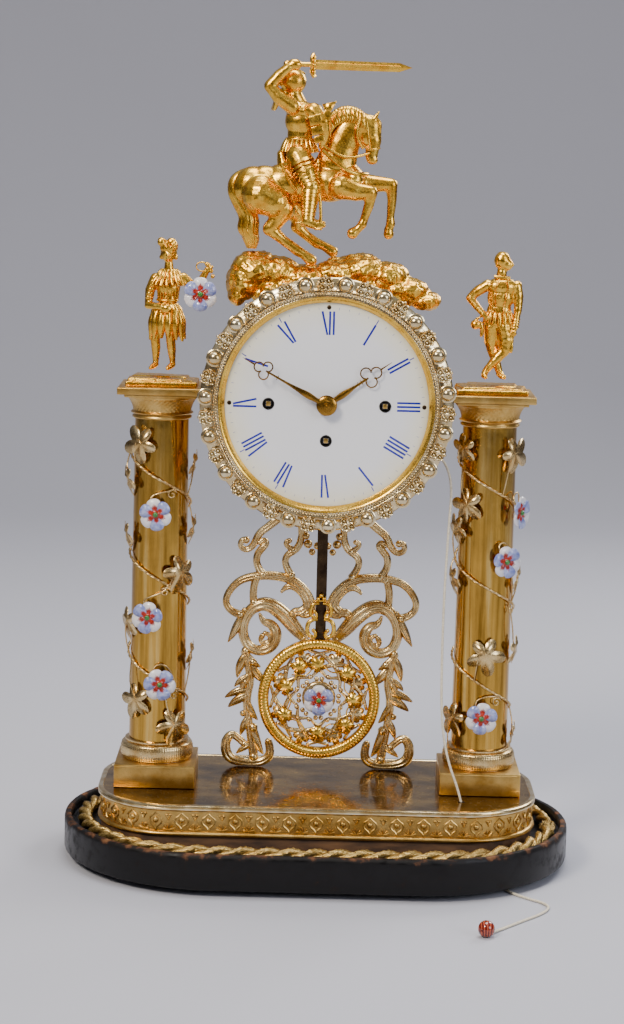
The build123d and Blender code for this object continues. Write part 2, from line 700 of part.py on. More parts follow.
with BuildPart() as hour_wheel:
    toothed((0, 0), 40, 0.48, -25.8, -24.8, 90 + 4.5, arms=4, hub=3.4)
    rod((0, 0), 2.6, -35.4, -24.8)
    rod((0, 0), 1.68, -36.0, -24.0, mode=Mode.SUBTRACT)
finish(hour_wheel, "hour_wheel")

hour_angle = 54.9
minute_angle = 298.8


def hand(length, clock_angle, front, back, hub_radius, bore_radius, root_width, trefoil):
    """Tapered hand with a trefoil near its tip; the angle is clockwise from twelve."""
    turn = math.radians(90 - clock_angle)
    plane = Plane(origin=(0, back, axis_z), x_dir=(math.cos(turn), 0, math.sin(turn)), z_dir=(0, -1, 0))
    with BuildSketch(plane) as outline:
        Circle(hub_radius)
        with BuildLine():
            Polyline((0, -root_width), (length, -0.35), (length, 0.35), (0, root_width), close=True)
        make_face()
        for along, across in ((trefoil, 3.0), (trefoil, -3.0), (trefoil + 4.6, 0)):
            with Locations((along, across)):
                Circle(3.0)
        for along, across in ((trefoil, 3.4), (trefoil, -3.4)):
            with Locations((along, across)):
                Circle(1.9, mode=Mode.SUBTRACT)
        Circle(bore_radius, mode=Mode.SUBTRACT)
    extrude(outline.sketch, amount=back - front)


with BuildPart() as hour_hand:
    hand(46.0, hour_angle, -35.4, -34.6, 5.4, 2.6, 1.9, 31.0)
finish(hour_hand, "hour_hand")

with BuildPart() as minute_hand:
    hand(57.0, minute_angle, -38.5, -37.8, 4.6, 1.6, 1.7, 40.0)
finish(minute_hand, "minute_hand")

# ---- strike: pin wheels, hammers, gongs, repeat lever -------------------------------------------
for name, place, great_at in (("hour", strike_arbors[0], winding_places[0]),
                              ("quarter", strike_arbors[1], winding_places[1])):
    with BuildPart() as pin_wheel:
        rod(place, 0.9, front_plate_back + 0.2, back_plate_front - 0.2)
        rod(place, pivot_radius, front_plate_face, back_plate_face)
        toothed(place, 8, strike_module, 2.0, 6.0, bearing_of(place, great_at) + 22.5)
        rod(place, 10.0, -4.6, -3.2)
        for pin in range(8):
            turn = math.radians(45.0 * pin + 10)
            rod((place[0] + 8 * math.cos(turn), place[1] + 8 * math.sin(turn)), 0.5, -3.2, 0.6)
    finish(pin_wheel, name + "_pin_wheel")

tail_length = 23.2
gong_radius = 40.0
gong_wire = 1.1
hour_gong_y = 28.5
quarter_gong_y = 33.5
hammer_gap = 0.8
for name, sign, strike_y in (("hour", -1, hour_gong_y), ("quarter", 1, quarter_gong_y)):
    arbor = (sign * hammer_at[0], hammer_at[1])
    pins = (sign * pin_at[0], pin_at[1])
    tail_turn = math.radians(bearing_of(arbor, pins))
    head_middle = gong_radius + gong_wire + hammer_gap + 4.5
    head_turn = math.radians(-90 + sign * 45)
    head_at = (head_middle * math.cos(head_turn), head_middle * math.sin(head_turn))
    arm_turn = math.radians(bearing_of(arbor, head_at))
    arm_length = math.hypot(head_at[0] - arbor[0], head_at[1] - arbor[1])
    with BuildPart() as hammer:
        rod(arbor, 1.0, front_plate_back + 0.2, strike_y + 1.0)
        rod(arbor, pivot_radius, front_plate_face, front_plate_back + 0.2)
        for turn, length, front, back in ((tail_turn, tail_length, -2.6, -0.8),
                                          (arm_turn, arm_length, strike_y - 1.0, strike_y + 1.0)):
            plane = Plane(origin=(arbor[0], back, axis_z + arbor[1]),
                          x_dir=(math.cos(turn), 0, math.sin(turn)), z_dir=(0, -1, 0))
            with BuildSketch(plane):
                Circle(2.4)
                Rectangle(length, 2.0, align=(Align.MIN, Align.CENTER))
            extrude(amount=back - front)
        outward = (math.cos(head_turn), 0, math.sin(head_turn))
        nose = gong_radius + gong_wire + hammer_gap
        with BuildSketch(Plane(origin=(nose * outward[0], strike_y, axis_z + nose * outward[2]),
                               z_dir=outward)):
            Circle(3.0)
        extrude(amount=9.0)
    finish(hammer, name + "_hammer")

with BuildPart() as gongs:
    for depth in (hour_gong_y, quarter_gong_y):
        start = math.radians(95.6)
        with BuildSketch(Plane(origin=(gong_radius * math.cos(start), depth,
                                       axis_z + gong_radius * math.sin(start)),
                               z_dir=(-math.sin(start), 0, math.cos(start)))):
            Circle(gong_wire)
        revolve(axis=Axis((0, depth, axis_z), (0, -1, 0)), revolution_arc=344)
finish(gongs, "gongs")

with BuildPart() as gong_stand:
    with BuildSketch(movement(36.5)):
        with BuildLine():
            Line((-3.65, 38.0), (3.65, 38.0))
            Line((3.65, 38.0), (5.6, 64.5))
            ThreePointArc((5.6, 64.5), (0, drum_inner - 0.05), (-5.6, 64.5))
            Line((-5.6, 64.5), (-3.65, 38.0))
        make_face()
    extrude(amount=11.0)
finish(gong_stand, "gong_stand")

lever_tip = (55.0, -21.8)
lever_tail = (28.0, -34.0)
with BuildPart() as repeat_lever:
    for tip, width in ((lever_tip, 2.4), (lever_tail, 2.4)):
        turn = math.radians(bearing_of(lever_at, tip))
        length = math.hypot(tip[0] - lever_at[0], tip[1] - lever_at[1])
        plane = Plane(origin=(lever_at[0], -11.3, axis_z + lever_at[1]),
                      x_dir=(math.cos(turn), 0, math.sin(turn)), z_dir=(0, -1, 0))
        with BuildSketch(plane):
            Circle(3.2)
            Rectangle(length, width, align=(Align.MIN, Align.CENTER))
            Circle(1.06, mode=Mode.SUBTRACT)
        extrude(amount=1.6)
finish(repeat_lever, "repeat_lever")

# ---- pendulum ----------------------------------------------------------------------------------
pivot_height = axis_z + pendulum_pivot
with BuildPart() as suspension_cock:
    with BuildSketch(movement(15.2, anchor_at)):
        with Locations((0, 5)):
            Rectangle(12, 17)
        Circle(pivot_bore, mode=Mode.SUBTRACT)
    extrude(amount=1.6)
    with BuildSketch(movement(13.6, anchor_at)):
        with Locations((0, 10)):
            Rectangle(12, 7)
    extrude(amount=3.6)
    with BuildSketch(movement(pendulum_y + 4, anchor_at)):
        with Locations((0, 9.5)):
            Rectangle(8, 6)
        with Locations((0, 8.0)):
            Rectangle(5.6, 8.0, mode=Mode.SUBTRACT)
    extrude(amount=pendulum_y + 4 - 15.2)
    with BuildSketch(movement(pendulum_y + 4, anchor_at)):
        with Locations((0, 12.6)):
            Rectangle(8, 2.2)
    extrude(amount=pendulum_y + 4 - 15.2)
finish(suspension_cock, "suspension_cock")

rod_half_width = 3.25
with BuildPart() as pendulum_rod:
    with BuildSketch(facing(pendulum_y + 0.75)):
        with Locations((0, (pivot_height - 4 + bob_z + bob_radius) / 2)):
            Rectangle(2 * rod_half_width, pivot_height - 4 - bob_z - bob_radius)
        with Locations((0, pivot_height - crutch_length + 1)):
            SlotOverall(7.0, 2.2, rotation=90, mode=Mode.SUBTRACT)
    extrude(amount=1.5)
    with BuildSketch(facing(pendulum_y + 0.15)):
        with Locations((0, pivot_height + 2.0)):
            Rectangle(4.0, 12.2)
    extrude(amount=0.3)
    with BuildSketch(facing(pendulum_y + 1.5)):
        with Locations((0, 152.5)):
            Ellipse(8.2, 13.5)
            Ellipse(5.2, 10.0, mode=Mode.SUBTRACT)
    extrude(amount=3.0)
finish(pendulum_rod, "pendulum_rod")

with BuildPart() as pendulum_bob:
    with BuildSketch(facing(pendulum_y + 4, 0, bob_z)):
        Circle(bob_radius)
        Circle(31.3, mode=Mode.SUBTRACT)
    extrude(amount=7.5)
    with BuildSketch(facing(pendulum_y + 3, 0, bob_z)):
        Circle(31.3)
    extrude(amount=2.0)
    with BuildSketch(facing(pendulum_y + 1, 0, bob_z)):
        Circle(5.0)
    extrude(amount=3.0)
finish(pendulum_bob, "pendulum_bob")

with BuildPart() as bob_flower:
    with BuildSketch(facing(pendulum_y - 2.0, 0, bob_z)):
        Circle(4.5)
    with BuildSketch(facing(pendulum_y - 6.0, 0, bob_z)):
        Circle(9.5)
    loft()
finish(bob_flower, "bob_flower")

# ---- rock, horse, rider and sword on top of the drum ------------------------------------------------
with BuildPart() as rock_mount:
    with BuildSketch(facing(20.0)):
        Polygon((-58, 343), (-63, 352), (-62, 364), (-50, 371), (-38, 372), (-24, 369), (-11, 363), (2, 367),
                (14, 372), (28, 370), (40, 362), (52, 357), (67, 341), (50, 340), (34, 342), (0, 345), (-34, 343),
                align=None)
    extrude(amount=40.0)
    with BuildSketch(movement(20.0)):
        Circle(drum_radius)
    extrude(amount=40.0, mode=Mode.SUBTRACT)
finish(rock_mount, "rock_mount")

with BuildPart() as horse:
    limb((-46, 0, 409), (-29, 0, 413), 12.0, 11.0)
    ball((-46, 0, 409), 12.1)
    limb((-29, 0, 413), (0, 0, 413), 11.0, 11.0)
    limb((0, 0, 413), (9, 0, 415), 11.0, 10.0)
    limb((3, 0, 424), (9, 0, 443), 11.0, 9.4)
    limb((9, 0, 443), (19, 0, 447), 9.4, 6.6)
    limb((21, 0, 447), (23, 0, 429), 6.4, 4.4)
    for y, knee, fetlock, hoof in ((-6, (23, -7, 408), (19, -7, 391), (13.5, -7, 384)),
                                   (6, (35, 7, 412), (35.5, 7, 391), (34.5, 7, 383))):
        limb((6, y, 411), knee, 6.0, 3.4)
        limb(knee, fetlock, 3.0, 2.3)
        limb(fetlock, hoof, 2.3, 2.8)
    for y, stifle, hock, fetlock, hoof in (
            (-7, (-28, -8, 398), (-37, -8, 385), (-18, -8, 372), (-11, -8, 367)),
            (7, (-20, 8, 396), (-20, 8, 386), (-8, 8, 376), (2, 8, 371))):
        limb((-42, y, 405), stifle, 9.0, 5.4)
        limb(stifle, hock, 5.2, 3.4)
        limb(hock, fetlock, 3.3, 2.6)
        limb(fetlock, hoof, 2.6, 2.9)
    limb((-52, 0, 418), (-57, 0, 409), 3.5, 4.4)
    limb((-57, 0, 409), (-50, 0, 396), 4.4, 5.0)
    limb((-50, 0, 396), (-47, 0, 374), 5.0, 3.4)
    add(rock_mount.part, mode=Mode.SUBTRACT)
finish(horse, "horse")

with BuildPart() as sword:
    with BuildSketch(facing(-6.2)):
        Polygon((-27, 480.4), (-12, 479.6), (-12, 478.4), (38, 478.2), (46, 480.8), (38, 483.0), (-12, 484.4),
                (-12, 483.0), (-27, 482.4), align=None)
        with Locations((-12.8, 481.2)):
            Rectangle(1.8, 14.0)
    extrude(amount=1.6)
finish(sword, "sword")

with BuildPart() as rider:
    limb((-20, 0, 430), (-20, 0, 440), 9.0, 7.2)
    limb((-20, 0, 440), (-20, 0, 452), 7.2, 9.0)
    limb((-21, 0, 456), (-24, 0, 464), 4.4, 4.4)
    ball((-26, 0, 470), 7.8)
    limb((-28, 0, 463), (-34.5, 0, 458.5), 3.4, 4.2)
    for y, side_sign in ((-9, -1), (9, 1)):
        limb((-20, y, 428), (-13, y + 4 * side_sign, 411), 6.4, 5.0)
        limb((-13, y + 4 * side_sign, 411), (-14, y + 4 * side_sign, 391), 4.8, 3.4)
        limb((-14, y + 4 * side_sign, 390), (-7, y + 4 * side_sign, 388), 3.0, 2.2)
    limb((-25, -4, 456), (-38, -6, 469), 4.6, 3.6)
    limb((-38, -6, 469), (-24, -8, 480), 3.6, 3.2)
    limb((-12, -5, 454), (-6, -7, 446), 4.4, 3.8)
    limb((-6, -7, 446), (-8, -7, 437), 3.6, 2.6)
    add(horse.part, mode=Mode.SUBTRACT)
    add(sword.part, mode=Mode.SUBTRACT)
finish(rider, "rider")

# ---- repeat cord and its bead -----------------------------------------------------------------------
cord_route = [
    (59.8, -12.0, 258.2), (66.2, -12.6, 254.6), (73.2, -14.0, 247.0), (76.6, -16.0, 234.0), (75.2, -18.6, 210.0),
    (73.6, -21.6, 168.0), (73.4, -25.4, 128.0), (74.0, -29.4, 96.0), (77.6, -33.0, 72.0), (86.4, -37.2, 50.0),
    (89.8, -38.6, 32.0), (89.4, -38.4, 17.0), (89.6, -38.6, 8.4), (92.0, -40.0, 3.4), (97.6, -42.6, 1.3),
    (105.4, -46.4, 0.9), (111.6, -56.6, 1.0), (114.6, -71.0, 0.9), (124.6, -83.0, 1.0), (134.4, -91.0, 0.9),
    (137.0, -100.6, 1.0), (130.6, -112.6, 0.9), (119.0, -125.6, 1.0), (106.6, -140.4, 0.9),
    (99.4, -149.4, 1.4),
]
with BuildPart() as cord_eyelet:
    with BuildSketch(Plane(origin=(0, cord_exit_y, axis_z), z_dir=exit_direction).offset(drum_inner - 1.2)):
        Circle(eyelet_radius)
        Circle(1.25, mode=Mode.SUBTRACT)
    extrude(amount=drum_wall + 2.4)
finish(cord_eyelet, "cord_eyelet")

with BuildPart() as repeat_cord:
    with BuildLine():
        cord_path = FilletPolyline(*cord_route, radius=route(cord_route, "repeat cord"))
    with BuildSketch(Plane(origin=cord_path @ 0, z_dir=cord_path % 0)):
        Circle(cord_diameter / 2)
    sweep()
finish(repeat_cord, "repeat_cord")

bead_size = 4.8
bead_direction = Vector(*cord_route[-1]) - Vector(*cord_route[-2])
bead_centre = Vector(*cord_route[-1]) + bead_direction.normalized() * bead_size
with BuildPart() as cord_bead:
    with Locations((bead_centre.X, bead_centre.Y, bead_size)):
        Sphere(bead_size)
    add(repeat_cord.part, mode=Mode.SUBTRACT)
finish(cord_bead, "cord_bead")

for name, piece, path, diameter in (("rope", rope_trim, rope_path, rope_diameter),
                                    ("repeat cord", repeat_cord, cord_path, cord_diameter)):
    expected = path.length * math.pi * diameter ** 2 / 4
    print(name, "length", round(path.length, 1), "volume", round(piece.part.volume, 1), "expected",
          round(expected, 1))
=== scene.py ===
import json
import math

import bmesh
import bpy
from mathutils import Matrix, Vector, noise


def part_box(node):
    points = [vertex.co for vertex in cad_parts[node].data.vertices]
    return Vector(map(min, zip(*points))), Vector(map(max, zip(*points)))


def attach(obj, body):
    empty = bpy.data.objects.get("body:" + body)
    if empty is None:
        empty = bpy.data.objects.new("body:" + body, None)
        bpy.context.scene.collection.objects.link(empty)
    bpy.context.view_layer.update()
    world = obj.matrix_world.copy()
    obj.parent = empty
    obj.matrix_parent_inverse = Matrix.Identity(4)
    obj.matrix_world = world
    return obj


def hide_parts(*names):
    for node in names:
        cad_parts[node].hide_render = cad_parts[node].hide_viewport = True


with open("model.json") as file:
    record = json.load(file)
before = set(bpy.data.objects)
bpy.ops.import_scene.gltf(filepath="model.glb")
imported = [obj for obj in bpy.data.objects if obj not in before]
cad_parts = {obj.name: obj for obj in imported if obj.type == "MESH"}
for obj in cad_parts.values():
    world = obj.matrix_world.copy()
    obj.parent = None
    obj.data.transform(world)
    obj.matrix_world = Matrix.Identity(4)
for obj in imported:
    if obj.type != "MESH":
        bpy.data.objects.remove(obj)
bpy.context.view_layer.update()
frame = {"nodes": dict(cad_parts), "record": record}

# Lengths below are millimetres, turned to metres when a piece is finished.
MM = 0.001
TURN = 2 * math.pi


def node_box(name):
    low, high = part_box(name)
    return Vector(low) / MM, Vector(high) / MM


def middle(name):
    low, high = node_box(name)
    return (low + high) / 2


dial_low, dial_high = node_box("dial")
dial_centre = Vector((0.0, dial_low.y, (dial_low.z + dial_high.z) / 2))
dial_radius = (dial_high.z - dial_low.z) / 2
drum_low, drum_high = node_box("drum_case")
drum_radius = (drum_high.z - drum_low.z) / 2
bob_low, bob_high = node_box("pendulum_bob")
bob_centre = Vector((0.0, bob_low.y, (bob_low.z + bob_high.z) / 2))
base_low, base_high = node_box("wood_base")
plate_low, plate_high = node_box("platform_top")
band_low, band_high = node_box("platform_band")
shaft_low, shaft_high = node_box("column_shaft_right")
column_x = (shaft_low.x + shaft_high.x) / 2
shaft_radius = (shaft_high.x - shaft_low.x) / 2
capital_low = node_box("capitals")[0]
abacus_low, abacus_high = node_box("abacus_plates")
torus_low, torus_high = node_box("column_bases")
plinth_low, plinth_high = node_box("plinth_blocks")
SIDES = (("left", -column_x), ("right", column_x))

# ---- camera --------------------------------------------------------------------------------
camera_data = bpy.data.cameras.new("camera")
camera_data.sensor_width = 36
camera_data.lens = 87.9
camera_data.clip_start = 0.05
camera = bpy.data.objects.new("camera", camera_data)
bpy.context.scene.collection.objects.link(camera)
bpy.context.scene.camera = camera
camera_roll = math.radians(1.45)
camera_pitch = math.radians(90 - 8.87)
camera.matrix_world = (Matrix.Translation((-0.0071, -1.5, 0.4485)) @ Matrix.Rotation(camera_pitch, 4, "X")
                       @ Matrix.Rotation(camera_roll, 4, "Z"))


# ---- materials -----------------------------------------------------------------------------
def linear(code, alpha=1.0):
    """sRGB hex to the linear colour that shaders use."""
    parts = [int(code[i:i + 2], 16) / 255 for i in (0, 2, 4)]
    return [c / 12.92 if c <= 0.04045 else ((c + 0.055) / 1.055) ** 2.4 for c in parts] + [alpha]


def add(tree, kind, inputs=None, **settings):
    """Adds a node, sets its properties, and sets or links its inputs."""
    node = tree.nodes.new(kind)
    for key, value in settings.items():
        setattr(node, key, value)
    for key, value in (inputs or {}).items():
        if isinstance(value, bpy.types.NodeSocket):
            tree.links.new(value, node.inputs[key])
        else:
            node.inputs[key].default_value = value
    return node


def ramp(tree, factor, stops):
    node = add(tree, "ShaderNodeValToRGB", {"Fac": factor})
    while len(node.color_ramp.elements) < len(stops):
        node.color_ramp.elements.new(0.5)
    for element, (place, colour) in zip(node.color_ramp.elements, stops):
        element.position = place
        element.color = linear(colour) if isinstance(colour, str) else (colour, colour, colour, 1)
    return node.outputs["Color"]


def surface(name, **values):
    """A new material with its Principled shader and its object coordinates."""
    mat = bpy.data.materials.new(name)
    mat.use_nodes = True
    tree = mat.node_tree
    shader = tree.nodes["Principled BSDF"]
    for key, value in values.items():
        shader.inputs[key.replace("_", " ")].default_value = value
    coords = add(tree, "ShaderNodeTexCoord").outputs["Object"]
    return mat, tree, shader, coords


def feed(tree, shader, key, socket):
    tree.links.new(socket, shader.inputs[key])


def bump(tree, shader, height, depth_mm, strength=1.0):
    node = add(tree, "ShaderNodeBump", {"Height": height, "Distance": depth_mm * MM, "Strength": strength})
    feed(tree, shader, "Normal", node.outputs["Normal"])


def grain(tree, coords, size_mm, detail=3.0, stretch=(1, 1, 1)):
    """Noise whose blotches are about size_mm across."""
    mapped = add(tree, "ShaderNodeMapping", {"Vector": coords, "Scale": stretch}).outputs["Vector"]
    return add(tree, "ShaderNodeTexNoise", {"Vector": mapped, "Scale": 1 / (size_mm * MM),
                                            "Detail": detail, "Roughness": 0.6}).outputs["Fac"]


def gilding(name, bright, deep, rough, grit_mm, grit_depth, patch_mm=9.0):
    """Gold over chased bronze: clouded tone, fine chasing marks."""
    mat, tree, shader, coords = surface(name, Metallic=1.0, Roughness=rough)
    cloud = grain(tree, coords, patch_mm, 4.0)
    feed(tree, shader, "Base Color", ramp(tree, cloud, ((0.34, deep), (0.62, bright))))
    fine = grain(tree, coords, grit_mm, 2.0)
    feed(tree, shader, "Roughness", ramp(tree, fine, ((0.3, rough * 0.75), (0.7, min(1.0, rough * 1.35)))))
    bump(tree, shader, fine, grit_depth, 0.7)
    return mat


# mercury gilding left bright: strong yellow with soft, broad highlights
fire_gilt = gilding("fire_gilt_bronze", "F8CC5C", "E2AC3A", 0.24, 0.9, 0.05)
# the figures' bright gilding, clouded at random with deep amber
figure_gilt = gilding("burnished_gilt_figure", "FAC84E", "E0A030", 0.27, 1.0, 0.05, 6.0)
# matt gilding of stamped leaves and cast scrolls: paler, drier
pale_gilt = gilding("pale_matt_gilt", "E8CE98", "C7A264", 0.26, 0.7, 0.04)
# champagne-toned gilding of the bezel, with a little silver showing
champagne_gilt = gilding("champagne_gilt", "EEDDB4", "CDAF74", 0.20, 0.6, 0.03)
# grained gilt plinths and capitals, brushed and lightly tarnished
brushed_gilt = gilding("brushed_gilt", "D9B46A", "B3873C", 0.34, 0.5, 0.03, 14.0)


def streaked_brass():
    """Polished column brass: long vertical light and dark streaks, partly real tarnish and partly painted
    reflections.
    """
    mat, tree, shader, coords = surface("column_brass_tarnish_and_painted_reflections", Metallic=1.0, Roughness=0.16)
    # painted reflections mixed with real tarnish: the vertical streaks paint in reflections running along the
    # polished shafts
    streaks = grain(tree, coords, 5.0, 5.0, (1, 1, 0.05))
    feed(tree, shader, "Base Color", ramp(tree, streaks, ((0.3, "8A6524"), (0.52, "C79A45"),
                                                          (0.7, "E3C072"))))
    marks = grain(tree, coords, 12.0, 6.0)
    feed(tree, shader, "Roughness", ramp(tree, marks, ((0.35, 0.10), (0.75, 0.30))))
    bump(tree, shader, grain(tree, coords, 1.4, 2.0, (1, 1, 0.08)), 0.02, 0.5)
    return mat


def tarnished_plate():
    """Mirror-polished platform plate with brown patches of tarnish."""
    mat, tree, shader, coords = surface("tarnished_mirror_brass", Metallic=1.0, Roughness=0.12)
    cloud = grain(tree, coords, 22.0, 7.0, (0.6, 1, 1))
    feed(tree, shader, "Base Color", ramp(tree, cloud, ((0.32, "5E4A26"), (0.5, "98783A"),
                                                        (0.68, "C9A353"))))
    specks = grain(tree, coords, 2.6, 5.0)
    feed(tree, shader, "Roughness", ramp(tree, specks, ((0.4, 0.08), (0.72, 0.34))))
    bump(tree, shader, specks, 0.02, 0.4)
    return mat


def clock_brass():
    mat, tree, shader, coords = surface("lacquered_clock_brass", Metallic=1.0, Roughness=0.3)
    lines = grain(tree, coords, 1.2, 3.0, (1, 1, 0.1))
    feed(tree, shader, "Base Color", ramp(tree, lines, ((0.3, "B88F42"), (0.7, "DDBB6E"))))
    return mat


def plain_steel(name, colour, rough):
    mat, tree, shader, coords = surface(name, Metallic=1.0, Roughness=rough)
    lines = grain(tree, coords, 0.8, 3.0, (0.15, 1, 1))
    feed(tree, shader, "Roughness", ramp(tree, lines, ((0.3, rough * 0.7), (0.7, rough * 1.3))))
    shader.inputs["Base Color"].default_value = linear(colour)
    return mat


def ebonised_wood():
    """Black French polish over fruitwood: brown where edges and scratches are worn through."""
    mat, tree, shader, coords = surface("ebonised_wood", Roughness=0.35, IOR=1.5, Specular_IOR_Level=0.3)
    worn = grain(tree, coords, 7.0, 8.0)
    height = add(tree, "ShaderNodeSeparateXYZ", {"Vector": coords}).outputs["Z"]
    edge = add(tree, "ShaderNodeMapRange", {"Value": height, "From Min": (base_high.z - 5.5) * MM,
                                            "From Max": (base_high.z - 0.8) * MM, "To Min": 0.0,
                                            "To Max": 0.24}).outputs["Result"]
    wear = add(tree, "ShaderNodeMath", {0: worn, 1: edge}, operation="ADD").outputs["Value"]
    feed(tree, shader, "Base Color", ramp(tree, wear, ((0.60, "060404"), (0.70, "140B07"), (0.80, "5A3820"),
                                                       (0.92, "7C5433"))))
    feed(tree, shader, "Roughness", ramp(tree, wear, ((0.45, 0.28), (0.75, 0.7))))
    fibres = grain(tree, coords, 1.5, 4.0, (0.08, 1, 1))
    bump(tree, shader, fibres, 0.05, 0.4)
    return mat


def groove_wood():
    """Bare, dusty wood in the groove under the dome."""
    mat, tree, shader, coords = surface("bare_groove_wood", Roughness=0.75, IOR=1.5)
    fibres = grain(tree, coords, 5.0, 6.0, (0.2, 1, 1))
    feed(tree, shader, "Base Color", ramp(tree, fibres, ((0.3, "2A1A10"), (0.7, "6B4A2C"))))
    bump(tree, shader, fibres, 0.2, 0.5)
    return mat


def enamel():
    """White kiln-fired enamel, glassy, with a painted cream reflection of the gilt ring towards the edge."""
    mat, tree, shader, coords = surface("white_fired_enamel", Roughness=0.10, IOR=1.52, Coat_Weight=0.5,
                                        Coat_Roughness=0.04)
    centred = add(tree, "ShaderNodeMapping", {"Vector": coords,
                                              "Location": -dial_centre * MM}).outputs["Vector"]
    away = add(tree, "ShaderNodeVectorMath", {0: centred}, operation="LENGTH").outputs["Value"]
    cloud = grain(tree, coords, 30.0, 2.0)
    reach = add(tree, "ShaderNodeMath", {0: cloud, 1: 0.012, 2: away},
                operation="MULTIPLY_ADD").outputs["Value"]
    # painted reflection: the cream towards the edge paints in the gilt ring reflected in the glossy enamel
    tone = add(tree, "ShaderNodeMapRange", {"Value": reach, "From Min": 0.050,
                                            "From Max": 0.070}).outputs["Result"]
    feed(tree, shader, "Base Color", ramp(tree, tone, ((0.0, "ECECEE"), (0.6, "EFECDC"), (1.0, "E6DDB4"))))
    return mat


def glaze(name, colour, second, rough=0.12):
    """Painted and glazed porcelain."""
    mat, tree, shader, coords = surface(name, Roughness=rough, IOR=1.5, Coat_Weight=0.6,
                                        Coat_Roughness=0.05)
    wash = grain(tree, coords, 3.0, 3.0)
    feed(tree, shader, "Base Color", ramp(tree, wash, ((0.35, colour), (0.7, second))))
    return mat


def thread(name, colour, second, pitch_mm, rough, metallic):
    """Spun thread: fine slanting fibres."""
    mat, tree, shader, coords = surface(name, Metallic=metallic, Roughness=rough)
    fibres = grain(tree, coords, pitch_mm, 4.0, (0.35, 1, 1))
    feed(tree, shader, "Base Color", ramp(tree, fibres, ((0.35, colour), (0.65, second))))
    bump(tree, shader, fibres, 0.12, 0.8)
    return mat


def agate():
    """Polished red-brown agate with curved bands."""
    mat, tree, shader, coords = surface("banded_red_agate", Roughness=0.06, IOR=1.54, Coat_Weight=0.4)
    bands = add(tree, "ShaderNodeTexWave", {"Vector": coords, "Scale": 190.0, "Distortion": 5.0,
                                            "Detail": 3.0}).outputs["Fac"]
    feed(tree, shader, "Base Color", ramp(tree, bands, ((0.2, "5A0F08"), (0.55, "8E1C0C"),
                                                        (0.9, "B8542E"))))
    return mat


column_brass = streaked_brass()
plate_brass = tarnished_plate()
movement_brass = clock_brass()
bright_steel = plain_steel("polished_steel", "B4B2AE", 0.25)
blued_steel = plain_steel("blued_steel", "3C4450", 0.28)
rod_bronze = gilding("brown_rod_bronze", "4A3A28", "2C2118", 0.32, 1.0, 0.03)
hand_gilt = gilding("dark_hand_gilt", "A87C32", "6E4E1C", 0.26, 0.6, 0.02)
black_wood = ebonised_wood()
bare_wood = groove_wood()
dial_enamel = enamel()
blue_enamel = glaze("cobalt_blue_numerals", "1C2490", "2A36B8")
# black glaze of the collet lips and of the painted shade inside the winding holes
black_collet_and_painted_hole_shade = glaze("black_collet_and_painted_hole_shade", "050505", "0C0A09", 0.4)
white_glaze = glaze("white_petal_glaze", "F2ECE6", "E6E2EA")
# painted shade mixed with real blue paint: the pale lavender stands for white petals in shade, the deeper blue
# is the painted blue
blue_paint_and_painted_shade_glaze = glaze("petal_glaze_blue_paint_and_painted_shade", "B4BADF", "6E7BC0")
red_glaze = glaze("iron_red_streaks", "C03014", "8E1A0E")
green_glaze = glaze("green_button_glaze", "3E8A34", "1F5A28")
gilt_thread = thread("twisted_gilt_thread", "8C6A2C", "E2C27A", 0.9, 0.34, 0.85)
cotton = thread("braided_cotton_cord", "C9BCA0", "EFE6D0", 0.6, 0.8, 0.0)
red_agate = agate()

SLOT_MATERIAL = {"ebonised_wood": black_wood, "fire_gilt": fire_gilt, "pale_gilt": pale_gilt,
                 "polished_brass": column_brass, "movement_brass": movement_brass,
                 "blued_steel": blued_steel, "steel": bright_steel, "gilt_thread": gilt_thread,
                 "cotton_cord": cotton, "enamel": dial_enamel, "porcelain": white_glaze,
                 "agate": red_agate, "dark_bronze": rod_bronze}
for part in frame["record"]["subparts"]:
    cad_piece = frame["nodes"][part["node"]]
    cad_piece.data.materials.clear()
    cad_piece.data.materials.append(SLOT_MATERIAL[part["material_slot"]])


# ---- mesh tools ----------------------------------------------------------------------------
def piece(name, bm, materials, body="case", replaces=(), smooth=True):
    """Turns a millimetre bmesh into a finished object that rides on a body."""
    bmesh.ops.scale(bm, vec=(MM, MM, MM), verts=bm.verts)
    mesh = bpy.data.meshes.new(name)
    bm.to_mesh(mesh)
    bm.free()
    for mat in materials if isinstance(materials, (list, tuple)) else (materials,):
        mesh.materials.append(mat)
    if smooth:
        mesh.shade_smooth()
    else:
        mesh.shade_flat()
    obj = bpy.data.objects.new(name, mesh)
    bpy.context.scene.collection.objects.link(obj)
    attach(obj, body)
    if replaces:
        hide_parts(*replaces)
    return obj


def crisp(obj, degrees=35):
    """Keeps edges sharper than this angle while the rest stays smooth."""
    bm = bmesh.new()
    bm.from_mesh(obj.data)
    for edge in bm.edges:
        edge.smooth = not (edge.is_manifold and edge.calc_face_angle(0) > math.radians(degrees))
    bm.to_mesh(obj.data)
    bm.free()
    return obj


def ball(bm, centre, radius, stretch=(1, 1, 1), detail=12, turn=None):
    place = Matrix.Translation(centre) @ (turn or Matrix.Identity(4)) @ Matrix.Diagonal((*stretch, 1))
    made = bmesh.ops.create_uvsphere(bm, u_segments=detail, v_segments=max(4, detail // 2 + 1),
                                     radius=radius, matrix=place)
    return made["verts"]


def pearl(bm, centre, radius):
    return bmesh.ops.create_icosphere(bm, subdivisions=1, radius=radius, matrix=Matrix.Translation(centre))


